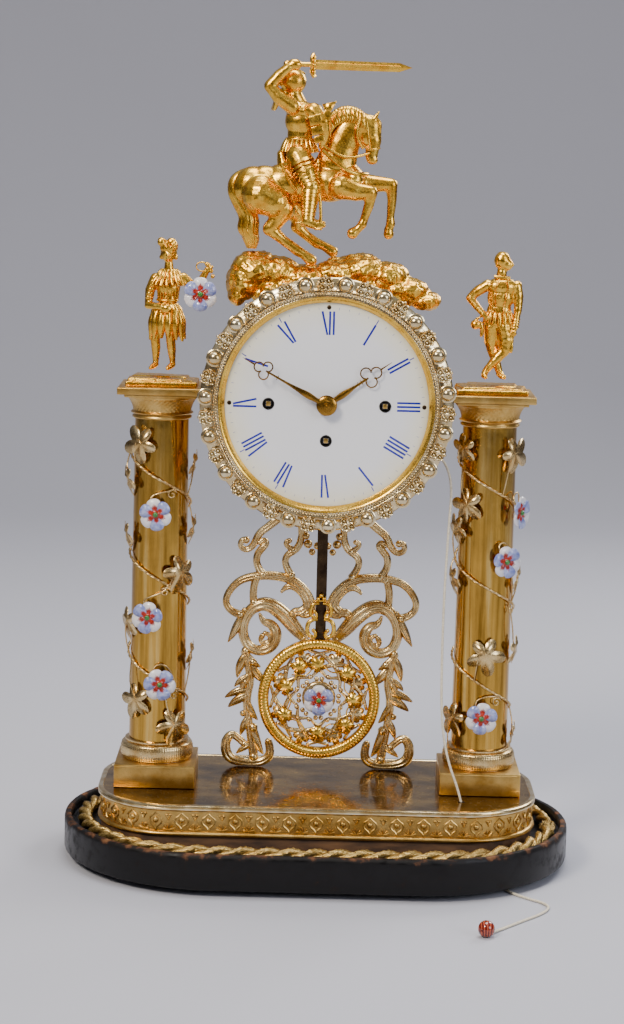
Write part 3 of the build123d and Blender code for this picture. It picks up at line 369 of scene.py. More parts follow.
def limb(bm, start, end, start_radius, end_radius, detail=14, flat=1.0):
    """Tapered round limb with rounded ends; flat squeezes it along Y."""
    start = Vector(start)
    end = Vector(end)
    along = end - start
    place = (Matrix.Translation((start + end) / 2) @ Matrix.Diagonal((1, flat, 1, 1))
             @ along.to_track_quat("Z", "Y").to_matrix().to_4x4())
    bmesh.ops.create_cone(bm, cap_ends=True, segments=detail, radius1=start_radius, radius2=end_radius,
                          depth=along.length, matrix=place)
    ball(bm, start, start_radius * 0.995, (1, flat, 1), detail)
    ball(bm, end, end_radius * 0.995, (1, flat, 1), detail)


def chain(bm, points, radii, detail=14, flat=1.0):
    """A limb through several points."""
    for start, end, start_radius, end_radius in zip(points, points[1:], radii, radii[1:]):
        limb(bm, start, end, start_radius, end_radius, detail, flat)


def lathe(bm, profile, centre, axis="Z", steps=96):
    """Spins a profile of (radius, height) points about an upright or a front-to-back axis."""
    centre = Vector(centre)
    ring = []
    for radius, along in profile:
        offset = Vector((radius, 0, along)) if axis == "Z" else Vector((radius, along, 0))
        ring.append(bm.verts.new(centre + offset))
    edges = [bm.edges.new(pair) for pair in zip(ring, ring[1:])]
    spin_axis = (0, 0, 1) if axis == "Z" else (0, 1, 0)
    bmesh.ops.spin(bm, geom=ring + edges, cent=centre, axis=spin_axis, angle=TURN, steps=steps,
                   use_merge=True)
    bmesh.ops.remove_doubles(bm, verts=bm.verts, dist=0.0005)
    bmesh.ops.recalc_face_normals(bm, faces=bm.faces)


def box(bm, centre, size, bevel=0.0, segments=2, turn=None):
    place = Matrix.Translation(centre) @ (turn or Matrix.Identity(4)) @ Matrix.Diagonal((*size, 1))
    made = bmesh.ops.create_cube(bm, size=1.0, matrix=place)
    if bevel:
        edges = list({edge for vert in made["verts"] for edge in vert.link_edges})
        bmesh.ops.bevel(bm, geom=edges, offset=bevel, affect="EDGES", segments=segments, profile=0.5,
                        material=-1)


def spline_mesh(points, radii=None, thickness=0.0, detail=2, closed=False, samples=4):
    """NURBS line through given control points, as a mesh: a bare line, or a tube with a taper."""
    curve = bpy.data.curves.new("line", "CURVE")
    curve.dimensions = "3D"
    curve.resolution_u = samples
    curve.bevel_depth = thickness
    curve.bevel_resolution = detail
    curve.use_fill_caps = thickness > 0 and not closed
    spline = curve.splines.new("NURBS")
    spline.points.add(len(points) - 1)
    for index, point in enumerate(points):
        spline.points[index].co = (*point, 1)
        spline.points[index].radius = radii[index] if radii else 1.0
    spline.order_u = 3
    spline.use_endpoint_u = not closed
    spline.use_cyclic_u = closed
    obj = bpy.data.objects.new("line", curve)
    bpy.context.scene.collection.objects.link(obj)
    mesh = bpy.data.meshes.new_from_object(obj.evaluated_get(bpy.context.evaluated_depsgraph_get()))
    bpy.data.objects.remove(obj)
    bpy.data.curves.remove(curve)
    return mesh


def wire(bm, points, radii, flat=1.0, flat_at=0.0, detail=2, samples=4, closed=False):
    """Adds a tapered wire; flat squeezes it along Y about a depth."""
    if isinstance(radii, (int, float)):
        radii = [radii] * len(points)
    mesh = spline_mesh(points, radii, 1.0, detail, closed, samples)
    mesh.transform(Matrix.Translation((0, flat_at, 0)) @ Matrix.Diagonal((1, flat, 1, 1))
                   @ Matrix.Translation((0, -flat_at, 0)))
    bm.from_mesh(mesh)
    bpy.data.meshes.remove(mesh)


def line_points(points, samples=8):
    """Points read along the NURBS line of a route."""
    mesh = spline_mesh(points, samples=samples)
    found = [vert.co.copy() for vert in mesh.vertices]
    bpy.data.meshes.remove(mesh)
    return found


def copy_into(bm, source, place, paint=None):
    """Adds a copy of a small bmesh, moved by a matrix or by a function of each point."""
    mesh = bpy.data.meshes.new("copy")
    source.to_mesh(mesh)
    for vert in mesh.vertices:
        vert.co = place @ vert.co if isinstance(place, Matrix) else place(vert.co)
    for face in mesh.polygons if paint is not None else ():
        face.material_index = paint
    bm.from_mesh(mesh)
    bpy.data.meshes.remove(mesh)


def fused(bm, voxel, smooth=3, chasing=0.0, chasing_size=1.5, hollows=0.0):
    """Melts overlapping shapes into one skin, smooths it, and chases its surface with noise."""
    mesh = bpy.data.meshes.new("lump")
    bm.to_mesh(mesh)
    bm.free()
    obj = bpy.data.objects.new("lump", mesh)
    bpy.context.scene.collection.objects.link(obj)
    remesh = obj.modifiers.new("remesh", "REMESH")
    remesh.mode = "VOXEL"
    remesh.voxel_size = voxel
    relax = obj.modifiers.new("relax", "SMOOTH")
    relax.factor = 0.5
    relax.iterations = smooth
    skin = bpy.data.meshes.new_from_object(obj.evaluated_get(bpy.context.evaluated_depsgraph_get()))
    bpy.data.objects.remove(obj)
    bpy.data.meshes.remove(mesh)
    result = bmesh.new()
    result.from_mesh(skin)
    bpy.data.meshes.remove(skin)
    if chasing:
        result.normal_update()
        moves = []
        for vert in result.verts:
            rough = noise.noise(vert.co / chasing_size)
            deep = noise.noise(vert.co / (chasing_size * 4.0))
            moves.append(vert.normal * (chasing * rough + hollows * deep))
        for vert, move in zip(result.verts, moves):
            vert.co += move
    return result


def around(half_x, half_y, corner):
    """Function that gives the place and outward direction at a distance along a rounded rectangle."""
    straight_x = half_x - corner
    straight_y = half_y - corner
    arc = corner * math.pi / 2
    total = 4 * (straight_x + straight_y + arc)

    def at(distance, out, height):
        # starts at the middle of the front and goes to the right
        s = distance % total
        legs = ((straight_x, 0), (arc, 1), (2 * straight_y, 2), (arc, 3), (2 * straight_x, 4), (arc, 5),
                (2 * straight_y, 6), (arc, 7), (straight_x, 8))
        for length, leg in legs:
            if s <= length or leg == 8:
                break
            s -= length
        centres = {1: (1, -1, -90), 3: (1, 1, 0), 5: (-1, 1, 90), 7: (-1, -1, 180)}
        if leg in centres:
            sign_x, sign_y, start = centres[leg]
            angle = math.radians(start) + (s / corner if corner else 0)
            reach = corner + out
            return Vector((sign_x * straight_x + reach * math.cos(angle),
                           sign_y * straight_y + reach * math.sin(angle), height))
        if leg in (0, 8):
            return Vector((s if leg == 0 else s - straight_x, -half_y - out, height))
        if leg == 4:
            return Vector((straight_x - s, half_y + out, height))
        if leg == 2:
            return Vector((half_x + out, -straight_y + s, height))
        return Vector((-half_x - out, straight_y - s, height))

    return at, total


def moulding(bm, path, total, profile, stations, close_profile=True, cap=False):
    """Carries a profile of (outward, height) points round a closed path."""
    sheet = bmesh.new()
    columns = len(profile) + (1 if close_profile else 0)
    bmesh.ops.create_grid(sheet, x_segments=stations, y_segments=columns - 1, size=0.5)
    points = list(profile) + [profile[0]]
    for vert in sheet.verts:
        out, height = points[round((vert.co.y + 0.5) * (columns - 1))]
        vert.co = path(total * (vert.co.x + 0.5), out, height)
    bmesh.ops.remove_doubles(sheet, verts=sheet.verts, dist=0.005)
    if cap:
        top = max(vert.co.z for vert in sheet.verts)
        rim = [edge for edge in sheet.edges if edge.is_boundary and min(v.co.z for v in edge.verts) > top - 0.01]
        bmesh.ops.edgeloop_fill(sheet, edges=rim)
    bmesh.ops.recalc_face_normals(sheet, faces=sheet.faces)
    copy_into(bm, sheet, Matrix.Identity(4))
    sheet.free()


# ---- wood base and feet --------------------------------------------------------------------
base_path, base_total = around(base_high.x, base_high.y, base_high.y)
plate_corner = 47.0
plate_path, plate_total = around(plate_high.x, plate_high.y, plate_corner)
groove_floor = base_high.z - 8.0
rim_top = base_high.z - 1.0
bm = bmesh.new()
moulding(bm, base_path, base_total,
         ((-30, groove_floor), (-5.6, groove_floor), (-4.6, groove_floor + 0.8), (-4.5, rim_top - 1.2),
          (-3.9, rim_top - 0.2), (-2.6, rim_top), (-1.2, rim_top - 0.3), (-0.3, rim_top - 1.4),
          (0, rim_top - 3), (0, base_low.z + 2.4), (-0.5, base_low.z + 0.8), (-1.8, base_low.z),
          (-30, base_low.z)), 180)
for vert in bm.verts:
    # an old edge: small dents where the polish is chipped
    if vert.co.z > rim_top - 1.5:
        vert.co.z -= 0.5 * max(0.0, noise.noise(vert.co / 6.0))
crisp(piece("oval_base_moulding", bm, black_wood, replaces=["wood_base"]))
bm = bmesh.new()
moulding(bm, plate_path, plate_total, ((-14, base_high.z - 0.1), (-2.2, base_high.z - 0.1),
                                       (-2.0, base_high.z - 0.5), (-2.0, groove_floor - 0.5),
                                       (-14, groove_floor - 0.5)), 120)
box(bm, (0, 0, (groove_floor + base_low.z) / 2 + 0.3),
    (2 * base_high.x - 90, 2 * base_high.y - 30, groove_floor - base_low.z - 0.8), 1.0)
crisp(piece("base_floor", bm, bare_wood))
foot_low, foot_high = node_box("base_feet")
bm = bmesh.new()
for x in (foot_low.x + 10.5, foot_high.x - 10.5):
    for y in (foot_low.y + 10.5, foot_high.y - 10.5):
        lathe(bm, ((0.01, 0.0), (8.6, 0.0), (9.9, 0.6), (10.5, 1.8), (10.2, 3.2), (9.4, 4.0), (0.01, 4.0)),
              (x, y, 0), steps=40)
crisp(piece("bun_feet", bm, black_wood, replaces=["base_feet"]))

# ---- cords ---------------------------------------------------------------------------------
cord_route = [
    (59.8, -12.0, 258.2), (66.2, -12.6, 254.6), (73.2, -14.0, 247.0), (76.6, -16.0, 234.0),
    (75.2, -18.6, 210.0),
    (73.6, -21.6, 168.0), (73.4, -25.4, 128.0), (74.0, -29.4, 96.0), (77.6, -33.0, 72.0),
    (86.4, -37.2, 50.0),
    (89.8, -38.6, 32.0), (89.4, -38.4, 17.0), (89.6, -38.6, 8.4), (92.0, -40.0, 3.4), (97.6, -42.6, 1.3),
    (105.4, -46.4, 0.9), (111.6, -56.6, 1.0), (114.6, -71.0, 0.9), (124.6, -83.0, 1.0), (134.4, -91.0, 0.9),
    (137.0, -100.6, 1.0), (130.6, -112.6, 0.9), (119.0, -125.6, 1.0), (106.6, -140.4, 0.9),
    (99.4, -149.4, 1.4),
]
cord_diameter = 1.5
cord_curve = bpy.data.curves.new("repeat_pull_cord", "CURVE")
cord_curve.dimensions = "3D"
cord_curve.bevel_depth = cord_diameter / 2 * MM
cord_curve.bevel_resolution = 3
cord_curve.resolution_u = 12
cord_curve.use_fill_caps = True
cord_spline = cord_curve.splines.new("NURBS")
cord_spline.points.add(len(cord_route) - 1)
for index, place in enumerate(cord_route):
    cord_spline.points[index].co = (*(Vector(place) * MM), 1)
cord_spline.order_u = 3
cord_spline.use_endpoint_u = True
cord_curve.materials.append(cotton)
pull_cord = bpy.data.objects.new("repeat_pull_cord", cord_curve)
bpy.context.scene.collection.objects.link(pull_cord)
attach(pull_cord, "case")
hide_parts("repeat_cord")

bead_middle = middle("cord_bead")
bead_radius = node_box("cord_bead")[1].z / 2
bm = bmesh.new()
bead_profile = [(0.7, bead_radius * 0.985)]
for step in range(1, 16):
    lean = math.pi * step / 16
    bead_profile.append((max(0.7, bead_radius * math.sin(lean)), bead_radius * math.cos(lean)))
bead_profile += [(0.7, -bead_radius * 0.985), (0.7, bead_radius * 0.985)]
lathe(bm, bead_profile, (0, 0, 0), steps=32)
pull_end = Vector(cord_route[-1]) - Vector(cord_route[-2])
bmesh.ops.rotate(bm, cent=(0, 0, 0), verts=bm.verts,
                 matrix=Vector((pull_end.x, pull_end.y, 0)).to_track_quat("Z", "Y").to_matrix())
bmesh.ops.translate(bm, vec=bead_middle, verts=bm.verts)
pull_bead = piece("agate_bead", bm, red_agate, replaces=["cord_bead"])

rope_route = [
    (143.5, -3.1, 23.0), (140.0, 24.3, 23.1), (122.3, 56.2, 23.0), (93.4, 77.3, 23.1),
    (46.0, 79.9, 23.0), (0.0, 80.5, 23.1), (-46.0, 79.9, 23.0), (-93.4, 77.3, 23.1),
    (-122.3, 56.2, 23.0), (-140.0, 24.3, 23.1), (-143.5, -3.1, 23.0), (-137.7, -31.0, 23.1),
    (-118.8, -59.9, 23.0), (-91.3, -77.7, 23.1), (-45.0, -79.8, 23.0), (1.0, -80.5, 23.1),
    (46.0, -79.7, 23.0), (92.4, -77.6, 23.1), (119.5, -59.2, 23.0), (136.9, -33.1, 23.1),
    (142.1, -16.1, 23.0),
]
rope_line = line_points(rope_route, 14)
strand_count = 2
strand_pitch = 28.0
thread_count = 9
thread_pitch = 17.0
up = Vector((0, 0, 1))
bm = bmesh.new()
travelled = [0.0]
for before, after in zip(rope_line, rope_line[1:]):
    travelled.append(travelled[-1] + (after - before).length)
for strand in range(strand_count):
    for fibre in range(thread_count):
        fibre_points = []
        fibre_radii = []
        for index, here in enumerate(rope_line):
            before = rope_line[max(0, index - 1)]
            after = rope_line[min(len(rope_line) - 1, index + 1)]
            ahead = (after - before).normalized()
            side = ahead.cross(up).normalized()
            lift = side.cross(ahead)
            twist = TURN * (travelled[index] / strand_pitch + strand / strand_count)
            strand_middle = 2.0 * (side * math.cos(twist) + lift * math.sin(twist))
            spread = TURN * (travelled[index] / thread_pitch + fibre / thread_count)
            loose = 1.9 + 0.25 * noise.noise(Vector((travelled[index] / 9.0, fibre * 3.1, strand * 7.7)))
            out = loose * (side * math.cos(spread) + lift * math.sin(spread))
            fibre_points.append(here + strand_middle + out)
            fibre_radii.append(0.86)
        wire(bm, fibre_points, fibre_radii, detail=0, samples=1)
rope = piece("gilt_rope", bm, gilt_thread, replaces=["rope_trim"])
# the cut end has come undone: loose wires stand out of it
bm = bmesh.new()
fray_root = Vector(rope_route[-1])
for strand in range(26):
    lean = TURN * strand / 26
    reach = 6.5 + 4.0 * noise.noise(Vector((strand * 1.7, 0.3, 0.9)))
    out = Vector((0.8 * math.cos(lean) * 3.2, reach, 1.0 + 2.6 * abs(math.sin(lean))))
    start = fray_root + Vector((2.4 * math.cos(lean), -3.0, 2.4 * math.sin(lean)))
    wire(bm, [start, start + out * 0.4 + Vector((0, 0, 0.8)), start + out], [0.34, 0.3, 0.22], detail=0,
         samples=2)
piece("frayed_rope_end", bm, gilt_thread)

# ---- platform ------------------------------------------------------------------------------
band_inset = 2.2
bm = bmesh.new()
moulding(bm, plate_path, plate_total,
         ((-band_inset, band_high.z), (-band_inset, band_low.z + 3.0), (-1.0, band_low.z + 2.6),
          (-0.2, band_low.z + 1.9), (0, band_low.z + 1.0), (-0.6, band_low.z + 0.2), (-5, band_low.z),
          (-5, band_high.z)), 160)
# one repeat of the stamped band: a pointed ogee frame round a boss, a trefoil and a palmette beside it
repeat_count = round(plate_total / 16.0)
repeat = plate_total / repeat_count
motif = bmesh.new()
floor_z = band_low.z + 3.0
for mirror in (-1, 1):
    wire(motif, [(0, 0, floor_z + 0.6), (mirror * 0.6, 0, floor_z + 2.4), (mirror * 3.6, 0, floor_z + 4.4),
                 (mirror * 4.0, 0, floor_z + 7.6), (mirror * 1.6, 0, floor_z + 9.0),
                 (0, 0, floor_z + 10.8)],
         [0.7, 0.55, 0.6, 0.6, 0.5, 0.5], detail=1, samples=3)
    ball(motif, (mirror * 6.9, 0, floor_z + 9.6), 0.95, (1.2, 0.8, 0.8), 8)
    wire(motif, [(mirror * 8.0, 0, floor_z + 6.6), (mirror * 7.2, 0, floor_z + 8.4),
                 (mirror * 6.2, 0, floor_z + 9.8)],
         [0.4, 0.5, 0.4], detail=0, samples=2)
    for spoke in range(3):
        fan = math.radians(90 - mirror * (18 + 30 * spoke))
        root = Vector((mirror * 8.0, 0, floor_z + 0.7))
        tip = root + 3.4 * Vector((math.cos(fan) * 1.0, 0, math.sin(fan)))
        wire(motif, [root, (root + tip) / 2 + Vector((0, -0.3, 0)), tip], [0.35, 0.6, 0.55], detail=0,
             samples=2)
ball(motif, (0, 0, floor_z + 6.3), 1.9, (1, 0.75, 1), 10)
ball(motif, (0, 0, floor_z + 1.0), 0.9, (1, 0.8, 1), 8)
for index in range(repeat_count):
    copy_into(bm, motif, lambda p, s=index * repeat: plate_path(s + p.x, -band_inset + 0.15 - p.y, p.z))
motif.free()
crisp(piece("stamped_band", bm, brushed_gilt, replaces=["platform_band"]), 50)
bm = bmesh.new()
moulding(bm, plate_path, plate_total,
         ((-9, plate_high.z - 0.35), (-3.4, plate_high.z - 0.35), (-3.0, plate_high.z),
          (-1.0, plate_high.z),
          (-0.2, plate_high.z - 0.5), (0, plate_high.z - 1.1), (-0.5, plate_high.z - 1.7),
          (-0.1, plate_high.z - 2.2), (-0.1, plate_high.z - 2.9), (-0.9, plate_high.z - 3.3),
          (-1.6, plate_high.z - 4.0), (-9, plate_high.z - 4.0)), 160)
crisp(piece("platform_cornice", bm, champagne_gilt))
bm = bmesh.new()
moulding(bm, plate_path, plate_total, ((-3.2, plate_low.z + 0.4), (-3.2, plate_high.z - 0.30)), 120,
         close_profile=False, cap=True)
crisp(piece("platform_plate", bm, plate_brass, replaces=["platform_top"]))
bm = bmesh.new()
lathe(bm, ((0.01, 0.06), (1.5, 0.06), (1.55, 0.25), (2.0, 0.3), (2.2, 0.0)),
      (87.2, -37.6, plate_high.z - 0.3),
      steps=24)
piece("cord_hole_lining", bm, rod_bronze)

# ---- columns -------------------------------------------------------------------------------
bm = bmesh.new()
for side, x in SIDES:
    height = plinth_high.z - plinth_low.z
    width = plinth_high.x - column_x
    box(bm, (x, 0, plinth_low.z + height / 2), (2 * width, 2 * width, height), 0.5, 2)
    for y_sign in (-1, 1):
        box(bm, (x, y_sign * (width - 0.1), plinth_high.z - 1.3), (2 * width - 1.2, 0.5, 0.5), 0.15, 1)
crisp(piece("plinths", bm, brushed_gilt, replaces=["plinth_blocks"]))


bm = bmesh.new()
for side, x in SIDES:
    torus = []
    for step in range(21):
        lean = math.radians(-88 + 176 * step / 20)
        torus.append((20.3 + 1.9 * math.cos(lean), 5.4 + 5.2 * math.sin(lean)))
    lathe(bm, [(12.0, 0.0), (20.4, 0.0)] + torus + [(19.0, 10.9), (18.8, 11.2), (19.6, 11.6), (19.6, 12.4),
                                                  (18.9, 12.7), (17.2, 13.0), (12.0, 13.0)],
          (x, 0, torus_low.z), steps=288)
for side, x in SIDES:
    for vert in bm.verts:
        if abs(vert.co.x - x) < 30 and torus_low.z + 1.2 < vert.co.z < torus_low.z + 9.8:
            out = Vector((vert.co.x - x, vert.co.y, 0))
            angle = math.atan2(out.y, out.x)
            wave = math.sin(48 * angle + 1.9 * vert.co.z) * math.sin(48 * angle - 1.9 * vert.co.z)
            vert.co += out.normalized() * 0.28 * wave
crisp(piece("knurled_column_bases", bm, pale_gilt, replaces=["column_bases"]), 60)
for side, x in SIDES:
    bm = bmesh.new()
    profile = []
    for step in range(13):
        share = step / 12
        profile.append((shaft_radius - share * 1.0, (shaft_high.z - shaft_low.z) * share))
    lathe(bm, [(14.6, 0)] + profile + [(14.6, shaft_high.z - shaft_low.z), (14.6, 0)], (x, 0, shaft_low.z),
          steps=96)
    crisp(piece("brass_shaft_" + side, bm, column_brass,
                replaces=["column_shaft_" + side]))
bm = bmesh.new()
weave_low = capital_low.z + 4.6
for side, x in SIDES:
    cove = []
    for step in range(13):
        share = step / 12
        cove.append((17.4 + 3.2 * share ** 1.8, 4.6 + 7.6 * share))
    lathe(bm, [(12, 0), (17.2, 0), (17.9, 0.5), (17.9, 1.5), (17.1, 2.0), (17.1, 2.5), (18.5, 3.0),
               (18.9, 3.6),
               (18.3, 4.2)] + cove + [(21.2, 12.6), (21.2, 14.0), (12, 14.0)], (x, 0, capital_low.z),
               steps=240)
for side, x in SIDES:
    for vert in bm.verts:
        if abs(vert.co.x - x) < 30 and weave_low + 0.3 < vert.co.z < weave_low + 7.4:
            out = Vector((vert.co.x - x, vert.co.y, 0))
            angle = math.atan2(out.y, out.x)
            over = math.sin(40 * angle) * math.cos(2.6 * vert.co.z)
            vert.co += out.normalized() * 0.30 * over
crisp(piece("basket_weave_capitals", bm, brushed_gilt, replaces=["capitals"]), 60)
bm = bmesh.new()
for side, x in SIDES:
    half = abacus_high.x - column_x
    box(bm, (x, 0, abacus_high.z - 2.1), (2 * half, 2 * half, 4.2), 0.5, 3)
    box(bm, (x, 0, abacus_low.z + 1.0), (2 * half - 8.0, 2 * half - 8.0, 2.2), 0.6, 3)
crisp(piece("abaci", bm, brushed_gilt, replaces=["abacus_plates"]))


# ---- leaves and flowers --------------------------------------------------------------------
def lobed_leaf(lobes, size, notch, sharp, dish, teeth=0.0, thickness=0.35):
    """Stamped leaf in the XY plane: pointed lobes, each folded along its vein."""
    leaf = bmesh.new()
    spokes = lobes * 8
    rim = bmesh.ops.create_circle(leaf, cap_ends=True, segments=spokes, radius=1.0)
    face = leaf.faces[:]
    for step in range(3):
        bmesh.ops.inset_region(leaf, faces=face, thickness=0.25, use_even_offset=False)
    bmesh.ops.poke(leaf, faces=face)
    for vert in leaf.verts:
        reach = min(1.0, Vector((vert.co.x, vert.co.y, 0)).length)
        angle = math.atan2(vert.co.y, vert.co.x)
        phase = abs(math.cos(lobes * angle / 2))
        edge = notch + (1 - notch) * phase ** sharp
        edge += teeth * math.cos(lobes * 5 * angle) * reach
        # the stalk side is shorter than the tip side
        edge *= 0.86 + 0.14 * math.cos(angle)
        fold = 0.16 * reach * (1 - phase)
        curl = -dish * reach ** 2
        vert.co = Vector((math.cos(angle) * reach * edge, math.sin(angle) * reach * edge,
                          fold + curl)) * size
    rim = [edge for edge in leaf.edges if edge.is_boundary]
    skirt = bmesh.ops.extrude_edge_only(leaf, edges=rim)["geom"]
    for item in skirt:
        if isinstance(item, bmesh.types.BMVert):
            item.co.z -= thickness
    bmesh.ops.recalc_face_normals(leaf, faces=leaf.faces)
    return leaf


def porcelain_flower(size, tilt=0.0):
    """Six painted petals with gilt edges, alternately white and lavender, round a green button; the lavender is
    painted shade on white porcelain, mixed with its real blue paint.
    """
    flower = bmesh.new()
    still = Matrix.Identity(4)
    for petal in range(6):
        direction = math.radians(90 + 60 * petal + tilt)
        blade = bmesh.new()
        bmesh.ops.create_circle(blade, cap_ends=True, segments=24, radius=1.0)
        face = blade.faces[:]
        bmesh.ops.inset_region(blade, faces=face, thickness=0.09, use_even_offset=False)
        bmesh.ops.inset_region(blade, faces=face, thickness=0.45, use_even_offset=False)
        bmesh.ops.poke(blade, faces=face)
        for one in blade.faces:
            edge = min(Vector((v.co.x, v.co.y, 0)).length for v in one.verts) > 0.88
            # odd petals take the lavender glaze, which is painted shade
            one.material_index = 4 if edge else petal % 2
        for vert in blade.verts:
            x, y = vert.co.x, vert.co.y
            # narrow at the heart, broad and round outside, cupped along the middle
            along = 0.58 + 0.42 * x
            cup = 0.10 * y * y + 0.22 * (along - 0.35) - 0.10 * max(0.0, along - 0.8) + 0.03 * (petal % 2)
            vert.co = Vector((along, y * (0.40 + 0.14 * x), cup)) * size
        rim = [edge for edge in blade.edges if edge.is_boundary]
        for item in bmesh.ops.extrude_edge_only(blade, edges=rim)["geom"]:
            if isinstance(item, bmesh.types.BMVert):
                item.co.z -= 0.06 * size
        copy_into(flower, blade, Matrix.Rotation(direction, 4, "Z"))
        blade.free()
        streaks = bmesh.new()
        for streak in (-2, -1, 0, 1, 2):
            lean = direction + 0.15 * streak
            reach = size * (0.66 - 0.07 * abs(streak))
            ahead = Vector((math.cos(lean), math.sin(lean), 0))
            wire(streaks, [ahead * size * 0.24 + Vector((0, 0, 0.02 * size)),
                           ahead * (reach * 0.6) + Vector((0, 0, 0.045 * size)),
                           ahead * reach + Vector((0, 0, 0.085 * size))],
                 [0.05 * size, 0.045 * size, 0.012 * size], detail=0, samples=2)
        copy_into(flower, streaks, still, 2)
        streaks.free()
    button = bmesh.new()
    ball(button, (0, 0, 0.14 * size), 0.17 * size, (1, 1, 0.8), 14)
    copy_into(flower, button, still, 3)
    button.free()
    heart = bmesh.new()
    lathe(heart, ((0.16 * size, 0.02 * size), (0.28 * size, 0.05 * size), (0.26 * size, 0.10 * size),
                  (0.15 * size, 0.12 * size)), (0, 0, 0), steps=20)
    copy_into(flower, heart, still, 2)
    heart.free()
    return flower


FLOWER_GLAZES = [white_glaze, blue_paint_and_painted_shade_glaze, red_glaze, green_glaze, champagne_gilt]


def facing(place, turn_degrees, roll_degrees=0.0, tip_degrees=0.0):
    """Matrix that turns a shape from the XY plane to look out from a column."""
    return (Matrix.Translation(place) @ Matrix.Rotation(math.radians(turn_degrees), 4, "Z")
            @ Matrix.Rotation(math.radians(90 + tip_degrees), 4, "X")
            @ Matrix.Rotation(math.radians(roll_degrees), 4, "Z"))


vine_radius = shaft_radius + 1.15
vine_pitch = 61.0
vine_top = 260.0


def on_column(x, height, angle, distance):
    turn = math.radians(angle)
    return Vector((x + distance * math.sin(turn), -distance * math.cos(turn), height))


# height, degrees to the right of the front, roll, size of the leaf
LEAF_PLACES = {
    "left": ((256, -34, 200, 11.5, 0), (178, 42, 250, 11.5, 0), (99, -38, 250, 11.0, 0),
             (84, 34, 262, 11.5, 0),
             (233, -72, 265, 9.5, 14), (243, 84, 280, 9.5, 12), (204, 82, 275, 9.5, 10),
             (199, -76, 270, 9.5, 12),
             (146, -62, 250, 10.0, 8), (126, 84, 272, 9.5, 10)),
    "right": ((255, 46, 330, 11.0, 0), (224, -40, 250, 11.0, 0), (133, 3, 280, 11.5, 0),
              (91, -58, 230, 11.0, 0),
              (258, -52, 240, 9.5, 10), (209, -66, 262, 9.5, 10), (178, 80, 280, 9.5, 12),
              (177, -74, 268, 9.0, 10),
              (134, 72, 300, 9.5, 10), (80, 84, 280, 9.5, 14)),
}
FLOWER_PLACES = {
    "left": ((214, -4, 10), (151, -14, -12), (110, 6, 22)),
    "right": ((219, 58, 0), (190, 30, 15), (94, -1, -8)),
}


def vine(side, x):
    bm = bmesh.new()
    turns = 2.75
    steps = 150
    for strand in range(2):
        points = []
        for step in range(steps + 1):
            share = step / steps
            angle = -150 + 360 * turns * share
            height = vine_top - vine_pitch * turns * share
            twist = TURN * (share * turns * 15 + strand / 2)
            wobble = 1.6 * noise.noise(Vector((share * 9.0, x, 2.0)))
            out = vine_radius + 0.55 * math.cos(twist)
            points.append(on_column(x, height + wobble + 0.55 * math.sin(twist), angle, out))
        wire(bm, points, 0.55, detail=1, samples=2)
    leaf = lobed_leaf(5, 1.22, 0.46, 1.1, 0.10, thickness=0.035)
    for height, angle, roll, size, tip in LEAF_PLACES[side]:
        place = on_column(x, height, angle, vine_radius + 2.2)
        copy_into(bm, leaf, facing(place, angle, roll, tip) @ Matrix.Scale(size, 4))
        # stalk that bends back to the nearest turn of the vine
        heart = on_column(x, height + 0.4 * size, angle - 8, vine_radius + 1.8)
        share = round((angle + 150) / 360 - (vine_top - height) / vine_pitch)
        hold_angle = angle - 20
        hold_height = vine_top - vine_pitch * ((hold_angle + 150) / 360 - share)
        wire(bm, [place, heart, on_column(x, (height + hold_height) / 2, angle - 16, vine_radius + 2.6),
                  on_column(x, hold_height, hold_angle, vine_radius)], [0.5, 0.5, 0.45, 0.45], detail=1,
                  samples=3)
    leaf.free()
    for height, angle, roll in FLOWER_PLACES[side]:
        share = round((angle + 150) / 360 - (vine_top - height) / vine_pitch)
        hold_angle = angle + 34
        hold_height = vine_top - vine_pitch * ((hold_angle + 150) / 360 - share)
        wire(bm, [on_column(x, height, angle, vine_radius + 4.0),
                  on_column(x, height + 9, angle - 18, vine_radius + 2),
                  on_column(x, height + 13, angle + 8, vine_radius + 1.2),
                  on_column(x, (height + hold_height) / 2 + 6, angle + 28, vine_radius + 0.9),
                  on_column(x, hold_height, hold_angle, vine_radius)], 0.5, detail=1, samples=4)
        # a free tendril with a curled end
        curl = []
        for step in range(13):
            turn = math.radians(40 * step)
            radius = 3.4 * (1 - step / 15)
            curl.append(on_column(x, hold_height - 4 + radius * math.sin(turn), hold_angle - 6
                                  + math.degrees(radius * math.cos(turn) / vine_radius), vine_radius + 0.8))
        wire(bm, [on_column(x, hold_height, hold_angle, vine_radius)] + curl, 0.42, detail=1, samples=3)
    return piece("wire_vine_" + side, bm, pale_gilt, replaces=["vine_" + side])


for side, x in SIDES:
    vine(side, x)
bm = bmesh.new()
for side, x in SIDES:
    for height, angle, roll in FLOWER_PLACES[side]:
        flower = porcelain_flower(9.8, roll)
        copy_into(bm, flower, facing(on_column(x, height, angle, vine_radius + 4.2), angle))
        flower.free()
flower = porcelain_flower(10.2)
copy_into(bm, flower, facing(Vector((-77, -5.0, 345)), 0, 0, -4))
flower.free()
piece("painted_flowers", bm, FLOWER_GLAZES, replaces=["porcelain_flowers"])

